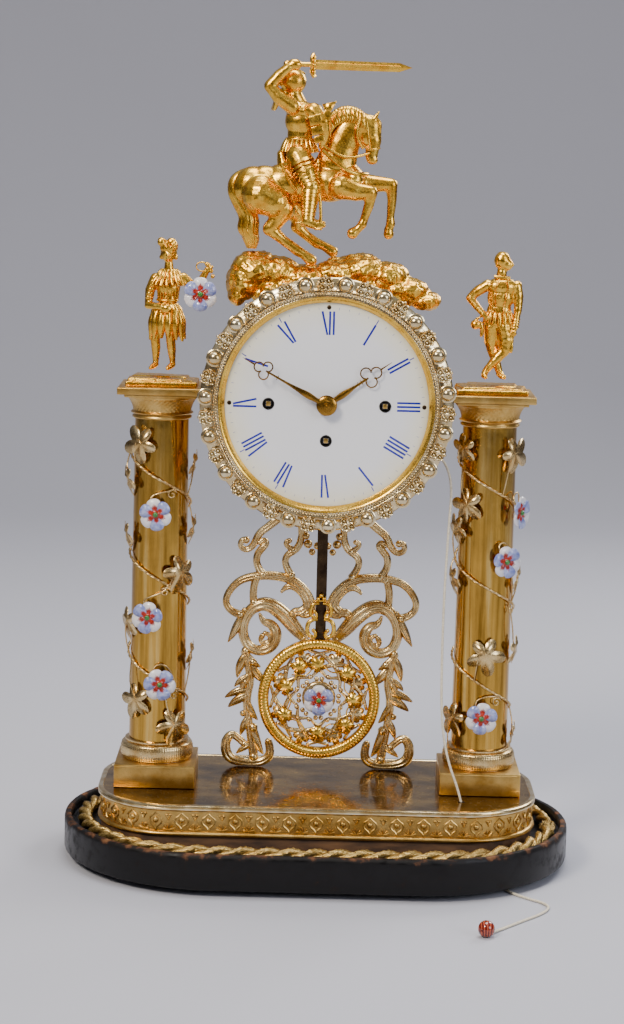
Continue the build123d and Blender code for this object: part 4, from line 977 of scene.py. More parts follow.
# ---- drum, bezel and dial ------------------------------------------------------------------
drum_front = -26.0
drum_back = 44.0
drum_wall = 1.2
bm = bmesh.new()
lathe(bm, ((drum_radius - drum_wall, drum_front), (drum_radius, drum_front), (drum_radius, drum_back - 3),
           (drum_radius + 0.7, drum_back - 2.6), (drum_radius + 0.7, drum_back - 0.8),
           (drum_radius, drum_back), (drum_radius - drum_wall, drum_back),
           (drum_radius - drum_wall, drum_front)),
      (0, 0, dial_centre.z), axis="Y", steps=128)
drum = crisp(piece("drum_shell", bm, column_brass, replaces=["drum_case"]))
bm = bmesh.new()
box(bm, (0, 20, dial_centre.z - drum_radius), (23, 7, 12))
cutter = piece("drum_slot_cutter", bm, column_brass)


def cut(target, tool):
    """Cuts a hole with a boolean and throws the tool away."""
    modifier = target.modifiers.new("cut", "BOOLEAN")
    modifier.object = tool
    modifier.solver = "EXACT"
    mesh = bpy.data.meshes.new_from_object(target.evaluated_get(bpy.context.evaluated_depsgraph_get()))
    target.modifiers.remove(modifier)
    old = target.data
    target.data = mesh
    bpy.data.meshes.remove(old)
    bpy.data.objects.remove(tool)


cut(drum, cutter)
crisp(drum)
hinge = middle("door_hinge_pin")
bm = bmesh.new()
for low in (-15.0, 7.3):
    lathe(bm, ((1.2, 0), (2.6, 0), (2.6, 7.7), (1.2, 7.7), (1.2, 0)),
          (hinge.x, hinge.y, dial_centre.z + low), steps=24)
    box(bm, (hinge.x - 4.2, hinge.y - 4.2, dial_centre.z + low + 3.85), (7.6, 2.4, 7.6), 0.3)
    box(bm, (hinge.x - 1.6, hinge.y - 2.0, dial_centre.z + low + 3.85), (2.0, 4.0, 7.6), 0.2)
crisp(piece("case_hinge_knuckles", bm, movement_brass))
bm = bmesh.new()
door_front = drum_back + 0.3
rings = [(0.01, 1.0), (20, 1.0), (20.6, 1.5), (23, 1.5), (23.6, 1.0), (56, 1.0), (57, 1.6), (63.5, 1.5),
         (drum_radius - 0.5, 1.0), (drum_radius - 0.5, 0.0), (0.01, 0.0)]
lathe(bm, rings, (0, door_front, dial_centre.z), axis="Y", steps=96)
lathe(bm, ((1.26, -7), (2.6, -7), (2.6, 7), (1.26, 7), (1.26, -7)), (hinge.x, hinge.y, dial_centre.z),
      steps=24)
box(bm, (hinge.x - 5.2, hinge.y - 1.4, dial_centre.z), (7.0, 1.3, 13.6), 0.2)
lathe(bm, ((0.01, 5.2), (1.8, 5.0), (2.6, 4.0), (2.6, 3.2), (1.4, 2.2), (1.4, 1.0)),
      (-52, door_front, dial_centre.z),
      axis="Y", steps=24)
for slot_index in range(10):
    lean = TURN * slot_index / 10
    ball(bm, (38 * math.cos(lean), door_front + 1.2, dial_centre.z + 38 * math.sin(lean)), 1.3, (1, 0.5, 1),
         10)
crisp(piece("back_door", bm, column_brass, body="door", replaces=["rear_door"]))

bead_count = 19
bead_orbit = 71.5
bm = bmesh.new()
lathe(bm, ((60.5, -31.9), (60.6, -32.6), (61.4, -33.9), (62.6, -35.3), (63.4, -36.0), (63.9, -36.1),
           (64.0, -35.2),
           (64.3, -35.0), (66.8, -35.0), (67.1, -35.3), (67.4, -35.9), (68.0, -35.9), (68.4, -35.0),
           (69.4, -33.8),
           (72.0, -32.6), (74.4, -32.0), (75.2, -31.0), (74.8, -29.6), (74.2, -29.2), (73.8, -27.6),
           (73.4, drum_front), (61.2, drum_front), (61.2, -31.6), (60.5, -31.9)), (0, 0, dial_centre.z),
      axis="Y", steps=190)
rosette = bmesh.new()
for corner in range(4):
    lean = math.radians(45 + 90 * corner)
    spot = Vector((2.75 * math.cos(lean), 0, 2.75 * math.sin(lean)))
    lathe(rosette, ((0.01, 0.4), (0.9, -0.6), (1.5, -1.7), (2.0, -2.0), (2.35, -1.2), (2.3, 0.8)), spot,
          axis="Y", steps=14)
    ball(rosette, spot + Vector((0, -0.9, 0)), 0.85, (1, 1, 1), 8)
    tip = math.radians(90 * corner)
    ball(rosette, (4.2 * math.cos(tip), 0.3, 4.2 * math.sin(tip)), 1.1, (1, 0.9, 1), 8)
ball(rosette, (0, -1.0, 0), 1.3, (1, 1, 1), 10)
boss = bmesh.new()
lathe(boss, ((0.01, -4.0), (1.3, -3.9), (2.6, -3.3), (3.5, -2.2), (3.9, -1.0), (3.85, -0.4), (4.5, -0.5),
             (5.2, -0.1), (5.3, 0.7), (4.9, 1.6), (4.2, 2.4)), (0, 0, 0), axis="Y", steps=24)
for index in range(2 * bead_count):
    angle = math.radians(90 - 7.4 - 180 * index / bead_count)
    place = (Matrix.Translation((bead_orbit * math.cos(angle), -34.9,
                                 dial_centre.z + bead_orbit * math.sin(angle)))
             @ Matrix.Rotation(math.pi / 2 - angle, 4, "Y"))
    copy_into(bm, boss if index % 2 == 0 else rosette, place)
boss.free()
rosette.free()
pearl_count = 236
for index in range(pearl_count):
    angle = TURN * index / pearl_count
    pearl(bm, (65.5 * math.cos(angle), -35.3, dial_centre.z + 65.5 * math.sin(angle)), 0.82)
crisp(piece("beaded_bezel", bm, champagne_gilt, replaces=["bezel"]), 50)
bm = bmesh.new()
lathe(bm, ((60.4, -32.15), (60.9, -33.35), (62.2, -35.05), (63.2, -36.1), (63.9, -36.25)),
      (0, 0, dial_centre.z),
      axis="Y", steps=160)
piece("polished_sight_ring", bm, fire_gilt)

winding_nodes = ("going_winding_arbor", "hour_winding_arbor", "quarter_winding_arbor")
winding_spots = [Vector((middle(name).x, 0, middle(name).z)) for name in winding_nodes]
bm = bmesh.new()
dome = []
for step in range(13):
    radius = 3.2 + (dial_radius - 0.4 - 3.2) * step / 12
    dome.append((radius, -1.5 + 1.3 * (radius / dial_radius) ** 3))
lathe(bm, [(3.2, 1.9)] + dome + [(dial_radius - 0.1, 0.6), (dial_radius - 0.1, 1.9), (3.2, 1.9)],
      dial_centre, axis="Y", steps=144)
dial_plate = piece("enamel_dial", bm, dial_enamel, replaces=["dial"])
for spot in winding_spots:
    bm = bmesh.new()
    lathe(bm, ((0.01, -6), (3.3, -6), (3.3, 6), (0.01, 6)), (spot.x, dial_centre.y, spot.z), axis="Y",
          steps=40)
    cut(dial_plate, piece("winding_hole_cutter", bm, dial_enamel))
crisp(dial_plate)
bm = bmesh.new()
for spot in winding_spots:
    lathe(bm, ((2.7, 3.0), (2.75, -1.0), (3.1, -1.55), (3.55, -1.6), (3.6, -1.1), (3.3, -0.9), (3.3, 3.0),
               (2.7, 3.0)),
          (spot.x, dial_centre.y, spot.z), axis="Y", steps=40)
    # painted shade: the black disc across the back of each hole and the black lining stand in for the dark
    # inside of the hole
    lathe(bm, ((0.01, 3.4), (3.2, 3.4), (3.2, 3.0), (0.01, 3.0)), (spot.x, dial_centre.y, spot.z), axis="Y",
          steps=24)
crisp(piece("winding_hole_collets", bm, black_collet_and_painted_hole_shade))
bm = bmesh.new()
for spot in winding_spots:
    box(bm, (spot.x, dial_centre.y + 1.0, spot.z), (2.6, 4.4, 2.6), 0.25, 2)
crisp(piece("winding_squares", bm, movement_brass))
bm = bmesh.new()
for angle in (90, 0, 180):
    lean = math.radians(angle)
    ball(bm, (57.6 * math.cos(lean), dial_centre.y - 0.35, dial_centre.z + 57.6 * math.sin(lean)), 1.35,
         (1, 0.5, 1), 12)
piece("dial_pins", bm, rod_bronze)

NUMERALS = ("XII", "I", "II", "III", "IIII", "V", "VI", "VII", "VIII", "IX", "X", "XI")
STROKE = 1.15


def stroke(bm, low, high, width, place):
    """One painted stroke between two points of the numeral's own plane."""
    low = Vector((low[0], 0, low[1]))
    high = Vector((high[0], 0, high[1]))
    along = high - low
    turn = Matrix.Rotation(math.atan2(along.x, along.z), 4, "Y")
    made = bmesh.ops.create_cube(bm, size=1.0, matrix=place @ Matrix.Translation((low + high) / 2) @ turn
                                 @ Matrix.Diagonal((width, 0.10, along.length, 1)))
    return made


def numeral(bm, text, hour):
    widths = {"I": 2.3, "V": 3.4, "X": 3.6}
    total = sum(widths[letter] for letter in text)
    angle = TURN * hour / 12
    left = -total / 2
    radius = 48.4
    half = 6.9
    lift = -1.5 + 1.3 * (radius / dial_radius) ** 3 - 0.02
    for letter in text:
        centre = left + widths[letter] / 2
        left += widths[letter]
        place = (Matrix.Translation((0, dial_centre.y + lift, dial_centre.z)) @ Matrix.Rotation(angle, 4,
                                                                                                "Y")
                 @ Matrix.Translation((centre, 0, radius)) @ Matrix.Rotation(math.radians(-1.9), 4, "X"))
        lean = {"I": 0.0, "V": 1.1, "X": 1.6}[letter]
        stroke(bm, (lean, -half), (-lean, half), STROKE, place)


bm = bmesh.new()
for hour, text in enumerate(NUMERALS):
    numeral(bm, text, hour)
for mark in range(60):
    angle = TURN * mark / 60
    long = mark % 5 == 0
    lift = -1.5 + 1.3 * (57.0 / dial_radius) ** 3 - 0.02
    place = (Matrix.Translation((0, dial_centre.y + lift, dial_centre.z)) @ Matrix.Rotation(angle, 4, "Y")
             @ Matrix.Translation((0, 0, 57.0)) @ Matrix.Rotation(math.radians(-3.2), 4, "X"))
    if mark % 15:
        stroke(bm, (0, -1.5 if long else -0.6), (0, 1.5 if long else 0.8), 0.5 if long else 0.16, place)
piece("painted_numerals", bm, blue_enamel, smooth=False)


def hand(angle, depth, length, loops_at, loop_radius, bars, stem):
    """Gilt hand: baluster stem, crossbars, an open trefoil and a needle point."""
    bm = bmesh.new()
    wire(bm, [(0, 0, r) for r, _ in stem], [w for _, w in stem], detail=3, samples=5)
    for bar in bars:
        wire(bm, [(-1.5, 0, bar), (0, 0, bar), (1.5, 0, bar)], [0.15, 0.42, 0.15], detail=2, samples=3)
    for lobe in range(3):
        lean = math.radians(90 + 120 * lobe)
        centre = Vector((loop_radius * 1.05 * math.cos(lean), 0,
                         loops_at + loop_radius * 1.05 * math.sin(lean)))
        ring = []
        for step in range(12):
            turn = lean + math.radians(-145 + 290 * step / 11)
            ring.append(centre + loop_radius * Vector((math.cos(turn), 0, math.sin(turn))))
        wire(bm, ring, 0.42, detail=2, samples=3)
    wire(bm, [(0, 0, loops_at + 1.9 * loop_radius), (0, 0, (loops_at + length) / 2 + loop_radius),
              (0, 0, length)],
         [0.55, 0.4, 0.1], detail=2, samples=3)
    for vert in bm.verts:
        vert.co.y *= 0.5
    place = (Matrix.Translation((0, depth, dial_centre.z)) @ Matrix.Rotation(math.radians(angle), 4, "Y"))
    bmesh.ops.transform(bm, matrix=place, verts=bm.verts)
    return bm


hour_angle = 54.9
minute_angle = 298.8
bm = hand(hour_angle, -35.0, 46.0, 31.5, 3.3, (22.5, 24.6),
          ((4.6, 1.5), (8.0, 1.7), (12.0, 2.1), (18.0, 1.1), (22.0, 0.7), (27.8, 0.8)))
lathe(bm, ((2.65, -0.5), (5.9, -0.5), (6.1, -0.1), (5.9, 0.4), (2.65, 0.4), (2.65, -0.5)),
      (0, -35.0, dial_centre.z),
      axis="Y", steps=48)
crisp(piece("gilt_hour_hand", bm, hand_gilt, body="hour_pipe", replaces=["hour_hand"]))
bm = hand(minute_angle, -38.1, 57.0, 43.0, 2.9, (33.4,),
          ((4.0, 1.2), (8.0, 1.5), (13.0, 2.2), (20.0, 1.2), (30.0, 0.6), (39.6, 0.6)))
lathe(bm, ((0.01, -3.2), (0.7, -3.2), (0.9, -2.2), (1.9, -2.0), (2.1, -1.5), (3.2, -1.3), (3.5, -0.9),
           (5.0, -0.6),
           (5.7, -0.2), (5.5, 0.4), (1.65, 0.4)), (0, -38.0, dial_centre.z), axis="Y", steps=48)
crisp(piece("gilt_minute_hand", bm, hand_gilt, body="minute_arbor",
            replaces=["minute_hand"]))

# ---- pendulum ------------------------------------------------------------------------------
rod_low, rod_high = node_box("pendulum_rod")
rod_y = (rod_low.y + rod_high.y) / 2
bm = bmesh.new()
box(bm, (0, rod_y, (rod_high.z - 12 + bob_high.z) / 2), (6.5, 1.5, rod_high.z - 12 - bob_high.z), 0.3, 2)
box(bm, (0, rod_y, rod_high.z - 6), (4.0, 0.3, 12))
crisp(piece("bronze_pendulum_rod", bm, rod_bronze, body="pendulum",
            replaces=["pendulum_rod"]))
bm = bmesh.new()
for mirror in (-1, 1):
    for route, width in (
            (((1.2, 154.5), (4.6, 155.0), (6.6, 151.0), (6.0, 146.6), (2.8, 145.2), (2.4, 148.0),
              (4.0, 149.4)), 1.15),
            (((2.0, 144.6), (6.4, 144.4), (8.6, 139.8), (7.6, 134.6), (4.0, 132.8), (2.4, 135.6),
              (4.4, 137.6)), 1.35)):
        points = [(mirror * px, bob_low.y + 1.2, pz) for px, pz in route]
        wire(bm, points, [0.7 * width, width, 1.1 * width, width, 0.9 * width, 0.8 * width, 0.9 * width],
             detail=3)
        ball(bm, (mirror * route[-1][0], bob_low.y + 0.8, route[-1][1]), 1.3, (1, 1, 1), 10)
    ball(bm, (mirror * 1.8, bob_low.y + 1.4, 157.4), 1.3, (1, 1, 1), 10)
ball(bm, (0, bob_low.y + 1.2, 159.4), 1.5, (1, 1, 1), 10)
box(bm, (0, bob_low.y + 1.6, 156.2), (9.2, 1.6, 1.0), 0.3)
piece("pendulum_scroll", bm, fire_gilt, body="pendulum")

bm = bmesh.new()
ring_profile = []
for step in range(13):
    lean = math.radians(180 * step / 12)
    ring_profile.append((34.6 + 3.4 * math.cos(lean), -2.6 * math.sin(lean)))
lathe(bm, ring_profile + [(31.3, 3.4), (37.8, 3.4), (38.0, 0.0)], (0, bob_centre.y + 2.8, bob_centre.z),
      axis="Y",
      steps=432)
for vert in bm.verts:
    out = Vector((vert.co.x, 0, vert.co.z - bob_centre.z))
    if vert.co.y < bob_centre.y + 3.2 and 32.0 < out.length < 37.9:
        angle = math.atan2(out.z, out.x)
        notch = abs(math.sin(54 * angle)) - 0.4
        vert.co.y -= 0.42 * notch * math.cos((out.length - 34.6) / 3.4 * 1.3)
crisp(piece("milled_bob_ring", bm, fire_gilt, body="pendulum", replaces=["pendulum_bob"]), 75)

bm = bmesh.new()
bob_back = bob_centre.y + 5.4
for branch in range(8):
    lean = math.radians(22.5 + 45 * branch)
    for bend in (-1, 1):
        spiral = []
        for step in range(9):
            turn = lean + bend * (0.16 + 0.17 * step)
            reach = 30.8 - 2.1 * step
            spiral.append((reach * math.cos(turn), bob_back - 0.25 * step,
                           bob_centre.z + reach * math.sin(turn)))
        wire(bm, spiral, [0.9, 1.2, 1.5, 1.7, 1.6, 1.5, 1.3, 1.1, 0.8], flat=0.75, flat_at=bob_back,
             detail=2)
        for step in (2, 4, 6):
            x, y, z = spiral[step]
            ball(bm, (x, y - 1.2, z), 1.5 - 0.1 * step, (1, 0.7, 1), 8)
    shell = lobed_leaf(5, 6.2, 0.62, 0.8, 0.16, thickness=0.5)
    copy_into(bm, shell, Matrix.Translation((26.0 * math.cos(lean), bob_back - 1.6,
                                             bob_centre.z + 26.0 * math.sin(lean)))
              @ Matrix.Rotation(math.pi / 2, 4, "X") @ Matrix.Rotation(lean, 4, "Z"))
    shell.free()
    for bud in range(3):
        turn = lean + 0.26 * (bud - 1)
        reach = 12.5 + 2.2 * (bud % 2)
        ball(bm, (reach * math.cos(turn), bob_back - 1.8, bob_centre.z + reach * math.sin(turn)), 1.6,
             (1, 0.8, 1), 8)
lathe(bm, ((0.01, 0), (9, 0), (10.5, 0.8), (10.5, 2.4), (0.01, 2.4)), (0, bob_back - 0.6, bob_centre.z),
      axis="Y", steps=32)
piece("bob_foliage", bm, pale_gilt, body="pendulum")

LEAF_ANGLES = (93, 122, 160, 208, 268, 316, 358, 44)
bm = bmesh.new()
for index, angle in enumerate(LEAF_ANGLES):
    lean = math.radians(angle)
    reach = 21.5 + 1.6 * (index % 2)
    leaf = lobed_leaf(5, 6.6, 0.66, 0.9, 0.14, teeth=0.07, thickness=0.4)
    spin = lean + 0.5 * (-1) ** index
    copy_into(bm, leaf, Matrix.Translation((reach * math.cos(lean), bob_centre.y + 0.6,
                                            bob_centre.z + reach * math.sin(lean)))
              @ Matrix.Rotation(math.radians(8 * math.sin(index * 2.3)), 4, "Z")
              @ Matrix.Rotation(math.pi / 2, 4, "X") @ Matrix.Rotation(spin, 4, "Z"))
    leaf.free()
    tendril = []
    for step in range(8):
        turn = lean + 0.10 * step + 0.1
        curl = reach - 2.6 * step + 0.4 * step * step
        tendril.append((curl * math.cos(turn), bob_centre.y + 1.4, bob_centre.z + curl * math.sin(turn)))
    wire(bm, tendril, 0.5, detail=1)
piece("bob_vine_leaves", bm, fire_gilt, body="pendulum")
flower = porcelain_flower(9.6, 0)
bm = bmesh.new()
copy_into(bm, flower, facing(Vector((0, bob_centre.y - 1.2, bob_centre.z)), 0))
flower.free()
lathe(bm, ((0.01, 0), (1.4, 0), (1.4, 7.0), (0.01, 7.0)), (0, bob_centre.y - 1.0, bob_centre.z), axis="Y",
      steps=12)
piece("painted_bob_flower", bm, FLOWER_GLAZES, body="pendulum", replaces=["bob_flower"])

# ---- scrolled frame ------------------------------------------------------------------------
frame_low, frame_high = node_box("support_frame")
scroll_y = (frame_low.y + frame_high.y) / 2
# each scroll: (points in x, z on the right side), radii from root to tip
SCROLLS = (
    (((46.0, 60.0), (50.5, 64.6), (55.0, 66.5), (58.6, 60.0), (56.4, 50.6), (45.5, 47.8), (34.0, 48.6),
      (28.6, 54.6),
      (31.0, 62.0)), (2.0, 2.0, 2.3, 2.8, 2.9, 2.4, 2.5, 2.6, 2.2)),
    (((40.0, 52.0), (41.0, 60.0), (43.6, 74.0), (45.6, 90.0), (42.6, 102.0), (45.4, 113.0), (46.6, 120.0)),
     (2.6, 2.6, 2.2, 2.4, 2.4, 2.2, 2.6)),
    (((38.0, 143.4), (36.4, 138.6), (30.4, 137.6), (26.8, 131.0), (29.6, 123.0), (37.4, 119.6),
      (45.0, 122.4),
      (48.6, 130.6), (48.0, 139.4), (43.0, 147.8), (33.6, 151.2), (22.6, 143.6), (14.6, 133.6),
      (9.8, 128.8)),
     (0.9, 1.9, 2.7, 3.2, 3.0, 2.9, 2.8, 2.8, 2.8, 3.2, 4.0, 4.3, 3.9, 2.6)),
    (((34.6, 131.6), (31.2, 130.6), (31.2, 126.2), (35.4, 124.6), (37.8, 127.6), (36.0, 130.0)),
     (1.2, 1.4, 1.6, 1.6, 1.4, 1.6)),
    (((47.6, 146.0), (50.4, 139.0), (54.0, 131.6), (57.4, 125.6)), (1.4, 2.6, 2.4, 0.5)),
    (((50.6, 143.0), (57.0, 144.8), (60.6, 153.0), (52.6, 164.6), (41.0, 168.0), (30.0, 168.4),
      (18.6, 166.4),
      (9.6, 158.6), (5.6, 150.0), (7.0, 143.6), (11.6, 144.4)),
     (2.4, 1.9, 1.9, 2.1, 2.4, 2.5, 2.6, 2.7, 2.6, 2.4, 2.4)),
    (((42.0, 151.0), (43.4, 159.0), (40.6, 167.0)), (2.2, 2.0, 2.2)),
    (((24.6, 158.4), (22.0, 161.8), (16.6, 161.8), (10.8, 156.8), (8.0, 150.0), (12.0, 145.6),
      (17.8, 145.4),
      (16.6, 141.6)), (0.9, 1.9, 2.1, 2.3, 2.3, 2.6, 2.6, 1.6)),
    (((36.6, 168.6), (40.6, 173.4), (41.0, 181.0), (37.4, 185.6), (34.4, 188.6), (36.8, 191.4),
      (39.2, 189.0)),
     (2.2, 2.0, 2.0, 2.1, 1.7, 1.4, 1.6)),
    (((47.6, 190.4), (50.8, 190.6), (51.2, 185.6), (46.6, 183.8), (42.6, 187.6), (40.0, 194.6),
      (33.6, 199.4),
      (26.0, 206.0), (18.0, 210.0)), (1.9, 1.6, 1.6, 1.7, 1.9, 2.1, 2.2, 2.4, 2.6)),
    (((19.0, 168.6), (23.4, 175.0), (22.4, 181.4), (16.8, 184.6), (13.8, 189.0), (12.6, 198.0),
      (15.0, 209.0)),
     (2.2, 1.9, 1.9, 2.0, 2.0, 2.0, 2.4)),
    (((17.6, 184.6), (22.0, 186.6), (23.4, 190.0), (20.4, 190.6)), (1.8, 1.4, 1.3, 1.5)),
)
# each leaf: root and tip in x, z, and its widest half
LEAVES = (
    ((41.0, 72.0), (34.0, 54.0), 3.6), ((43.0, 78.0), (48.6, 66.0), 3.0), ((44.0, 92.0), (56.6, 84.0), 3.4),
    ((44.0, 96.0), (58.8, 90.0), 3.0), ((45.0, 88.0), (38.0, 76.0), 3.0),
    ((43.0, 106.0), (49.0, 92.0), 3.2),
    ((42.0, 110.0), (33.0, 100.0), 3.4), ((46.0, 118.0), (51.4, 103.0), 3.4),
    ((46.0, 118.0), (37.0, 110.0), 2.8),
    ((42.0, 60.0), (51.0, 54.0), 2.4), ((45.0, 104.0), (53.0, 97.0), 2.4),
)
BERRIES = ((40.6, 71.0, 3.0), (41.6, 113.0, 2.5), (46.0, 100.0, 2.2), (47.4, 80.0, 2.0), (9.0, 189.0, 2.8),
           (6.4, 184.0, 2.2), (3.2, 188.0, 2.4), (10.4, 194.0, 2.4))
bm = bmesh.new()
for mirror in (-1, 1):
    for route, widths in SCROLLS:
        body_points = [(mirror * px, scroll_y, pz) for px, pz in route]
        wire(bm, body_points, [1.18 * width for width in widths], flat=0.8, flat_at=scroll_y, detail=3,
             samples=6)
        # two raised flutes follow the front of each scroll, as on a cast acanthus stem
        for offset in (-0.42, 0.42):
            flute = []
            for index, (px, pz) in enumerate(route):
                before = Vector(route[max(0, index - 1)])
                after = Vector(route[min(len(route) - 1, index + 1)])
                across = (after - before).normalized().orthogonal() * offset * widths[index]
                flute.append((mirror * (px + across.x), scroll_y - 0.74 * widths[index], pz + across.y))
            wire(bm, flute, [0.34 * width for width in widths], detail=1, samples=6)
        ball(bm, (mirror * route[-1][0], scroll_y - 0.4, route[-1][1]), widths[-1] * 1.05, (1, 1, 1), 10)
        ball(bm, (mirror * route[0][0], scroll_y - 0.4, route[0][1]), widths[0] * 1.25, (1, 1, 1), 10)
    for root, tip, width in LEAVES:
        bend = 0.5 * (Vector(root) + Vector(tip)) + 0.12 * (Vector(tip) - Vector(root)).orthogonal()
        wire(bm, [(mirror * root[0], scroll_y - 0.6, root[1]), (mirror * bend.x, scroll_y - 2.2, bend.y),
                  (mirror * tip[0], scroll_y - 1.0, tip[1])], [0.6 * width, 1.25 * width, 0.15 * width],
             flat=0.55, flat_at=scroll_y - 1.4, detail=3, samples=6)
        wire(bm, [(mirror * root[0], scroll_y - 2.0, root[1]), (mirror * bend.x, scroll_y - 3.6, bend.y),
                  (mirror * tip[0], scroll_y - 1.6, tip[1])], [0.4, 0.5, 0.2], detail=1, samples=6)
    for px, pz, radius in BERRIES:
        ball(bm, (mirror * px, scroll_y - 1.4, pz), radius, (1, 0.9, 1), 12)
    box(bm, (mirror * 11.0, scroll_y, frame_high.z - 3.0), (22.2, 4.4, 4.4), 1.2, 3)
for vert in bm.verts:
    vert.co.z = max(vert.co.z, plate_high.z)
    vert.co.z = min(vert.co.z, frame_high.z)
piece("rocaille_frame", bm, pale_gilt, replaces=["support_frame"])

# ---- rock, horse and rider -----------------------------------------------------------------
bm = bmesh.new()
for x, y, z, radius, stretch in (
        (4, 0, 346, 17, (3.1, 1.05, 0.6)), (-44, 0, 360, 12, (1.3, 1.3, 0.95)),
        (-52, 0, 353, 10, (1.0, 1.5, 1.1)),
        (-32, 0, 359, 11, (1.4, 1.4, 0.9)), (-15, 0, 355, 11, (1.5, 1.5, 0.85)),
        (4, 0, 358, 11, (1.4, 1.5, 0.9)),
        (18, 0, 361, 11, (1.4, 1.4, 0.95)), (34, 0, 358, 10, (1.3, 1.5, 0.95)),
        (48, 0, 350, 9, (1.3, 1.6, 0.95)),
        (58, 0, 344, 7, (1.3, 1.8, 0.8)), (-55, -2, 345, 6, (1.0, 1.9, 1.1))):
    ball(bm, (x, y, z), radius, stretch, 20)
for index in range(110):
    angle = index * 2.39996
    reach = math.sqrt(index / 110)
    spot = Vector((2 + 56 * reach * math.cos(angle), 15 * reach * math.sin(angle), 0))
    spot.z = 350 + 16 * (1 - reach) + 5 * noise.noise(spot / 13)
    ball(bm, spot, 3.6 + 2.6 * noise.noise(spot / 7), (1.3, 1, 0.8), 8)
bm = fused(bm, 0.8, 1, 0.9, 2.6, 1.2)
for vert in bm.verts:
    # hollowed underneath to sit on the drum
    if math.hypot(vert.co.x, vert.co.z - dial_centre.z) < drum_radius + 0.3:
        vert.co.z = dial_centre.z + math.sqrt(max(0.0, (drum_radius + 0.3) ** 2 - vert.co.x ** 2))
    vert.co.y = max(-20.5, min(20.5, vert.co.y))
piece("gilt_rock", bm, figure_gilt, replaces=["rock_mount"])

bm = bmesh.new()
for x, z, radius, stretch in ((-47, 409, 12.4, (1.0, 0.9, 1.02)), (-40, 409, 12.6, (1.1, 0.9, 1.05)),
                              (-28, 412, 12.0, (1.2, 0.9, 1.0)), (-14, 412, 11.4, (1.3, 0.9, 1.0)),
                              (-1, 413, 11.6, (1.15, 0.9, 1.0)), (8, 414, 11.4, (1.0, 0.84, 1.0))):
    ball(bm, (x, 0, z), radius, stretch, 24)
chain(bm, [(2, 0, 424), (4.6, 0, 434), (9, 0, 443.6), (16, 0, 447.6)], [12.2, 10.8, 9.6, 7.4], 24, 0.66)
chain(bm, [(16, 0, 447.6), (22, -0.4, 446.6), (23.6, -1.0, 438.6), (22.8, -1.6, 428.8)],
      [6.8, 6.6, 5.0, 3.7], 20, 0.8)
ball(bm, (19.6, -0.4, 440.6), 5.6, (0.95, 0.8, 1.2), 16)
ball(bm, (23.4, -1.8, 426.8), 3.2, (1.1, 0.9, 0.8), 14)
for y_sign in (-1, 1):
    limb(bm, (23.4, 2.6 * y_sign, 450), (26.6, 3.6 * y_sign, 455.2), 1.9, 0.6)
    ball(bm, (23.6, 3.9 * y_sign - 0.8, 441.0), 1.2, (1, 0.7, 0.8), 8)
    ball(bm, (25.6, 2.0 * y_sign - 1.4, 427.8), 0.9, (1, 0.8, 1), 8)
    ball(bm, (13, 4.4 * y_sign, 415), 6.2, (0.9, 0.9, 1.1), 16)
chain(bm, [(5, -6.4, 411), (14, -7.4, 408.4), (23.0, -7.6, 408.0), (22.2, -7.6, 401), (19.4, -7.4, 392),
           (18.4, -7.4, 389)], [8.2, 6.0, 4.2, 3.1, 2.4, 2.9])
chain(bm, [(18.2, -7.4, 388.6), (15.6, -7.4, 386), (12.8, -7.4, 383.6)], [2.6, 2.6, 3.5])
chain(bm, [(8, 6.2, 413), (24, 7.2, 412.6), (35.4, 7.4, 412.4), (36.0, 7.4, 403), (35.4, 7.4, 393),
           (35.6, 7.4, 389)],
      [8.0, 5.4, 4.0, 3.0, 2.4, 2.9])
chain(bm, [(35.6, 7.4, 388.6), (34.4, 7.4, 385.6), (34.6, 7.4, 383)], [2.6, 2.8, 3.3])
chain(bm, [(-42, -6.4, 405), (-33, -8.0, 400.4), (-28.6, -8.2, 397.0), (-32, -8.2, 390.4),
           (-36.4, -8.2, 385)],
      [12.0, 9.6, 7.4, 5.0, 4.4])
chain(bm, [(-36.4, -8.2, 385), (-28, -8.2, 378.4), (-19.4, -8.2, 372.4), (-15.6, -8.2, 370.4),
           (-11.4, -8.2, 367.0)],
      [4.2, 3.0, 3.2, 2.8, 3.6])
chain(bm, [(-38, 6.4, 404), (-24, 8.0, 397), (-18.6, 8.2, 391), (-20.4, 8.2, 386)], [10.6, 7.2, 4.8, 4.0])
chain(bm, [(-20.4, 8.2, 386), (-14, 8.2, 380.4), (-8.4, 8.2, 376.6), (-4.0, 8.2, 375.0), (1.4, 8.2, 371.6)],
      [3.8, 3.0, 3.3, 2.8, 3.4])
bm = fused(bm, 0.55, 4, 0.12, 5.0, 0.2)
locks = bmesh.new()
# mane: a braid of locks over the crest
for lock in range(17):
    share = lock / 16
    turn = math.radians(158 - 118 * share)
    start = Vector((9.4 + 12.6 * math.cos(turn), 0, 443.2 + 13.6 * math.sin(turn)))
    for y_sign in (-1, 1):
        sway = 0.8 * math.sin(lock * 2.4)
        wire(locks, [start, start + Vector((-1.6, 2.4 * y_sign, 0.9)),
                     start + Vector((-1.2 + sway, 4.4 * y_sign, -3.2)),
                     start + Vector((0.8, 5.2 * y_sign, -6.0)), start + Vector((-0.6, 5.6 * y_sign, -8.0))],
             [1.1, 1.9, 1.8, 1.2, 0.4], detail=2, samples=4)
for lock in range(6):
    wire(locks, [(20.0, -2 + 0.7 * lock, 452.4), (25.4, -2.6 + 0.8 * lock, 451.6),
                 (27.8, -2.8 + 0.8 * lock, 446.4),
                 (27.2, -2.6 + 0.7 * lock, 442.6)], [1.0, 1.6, 1.5, 0.6], detail=1, samples=4)
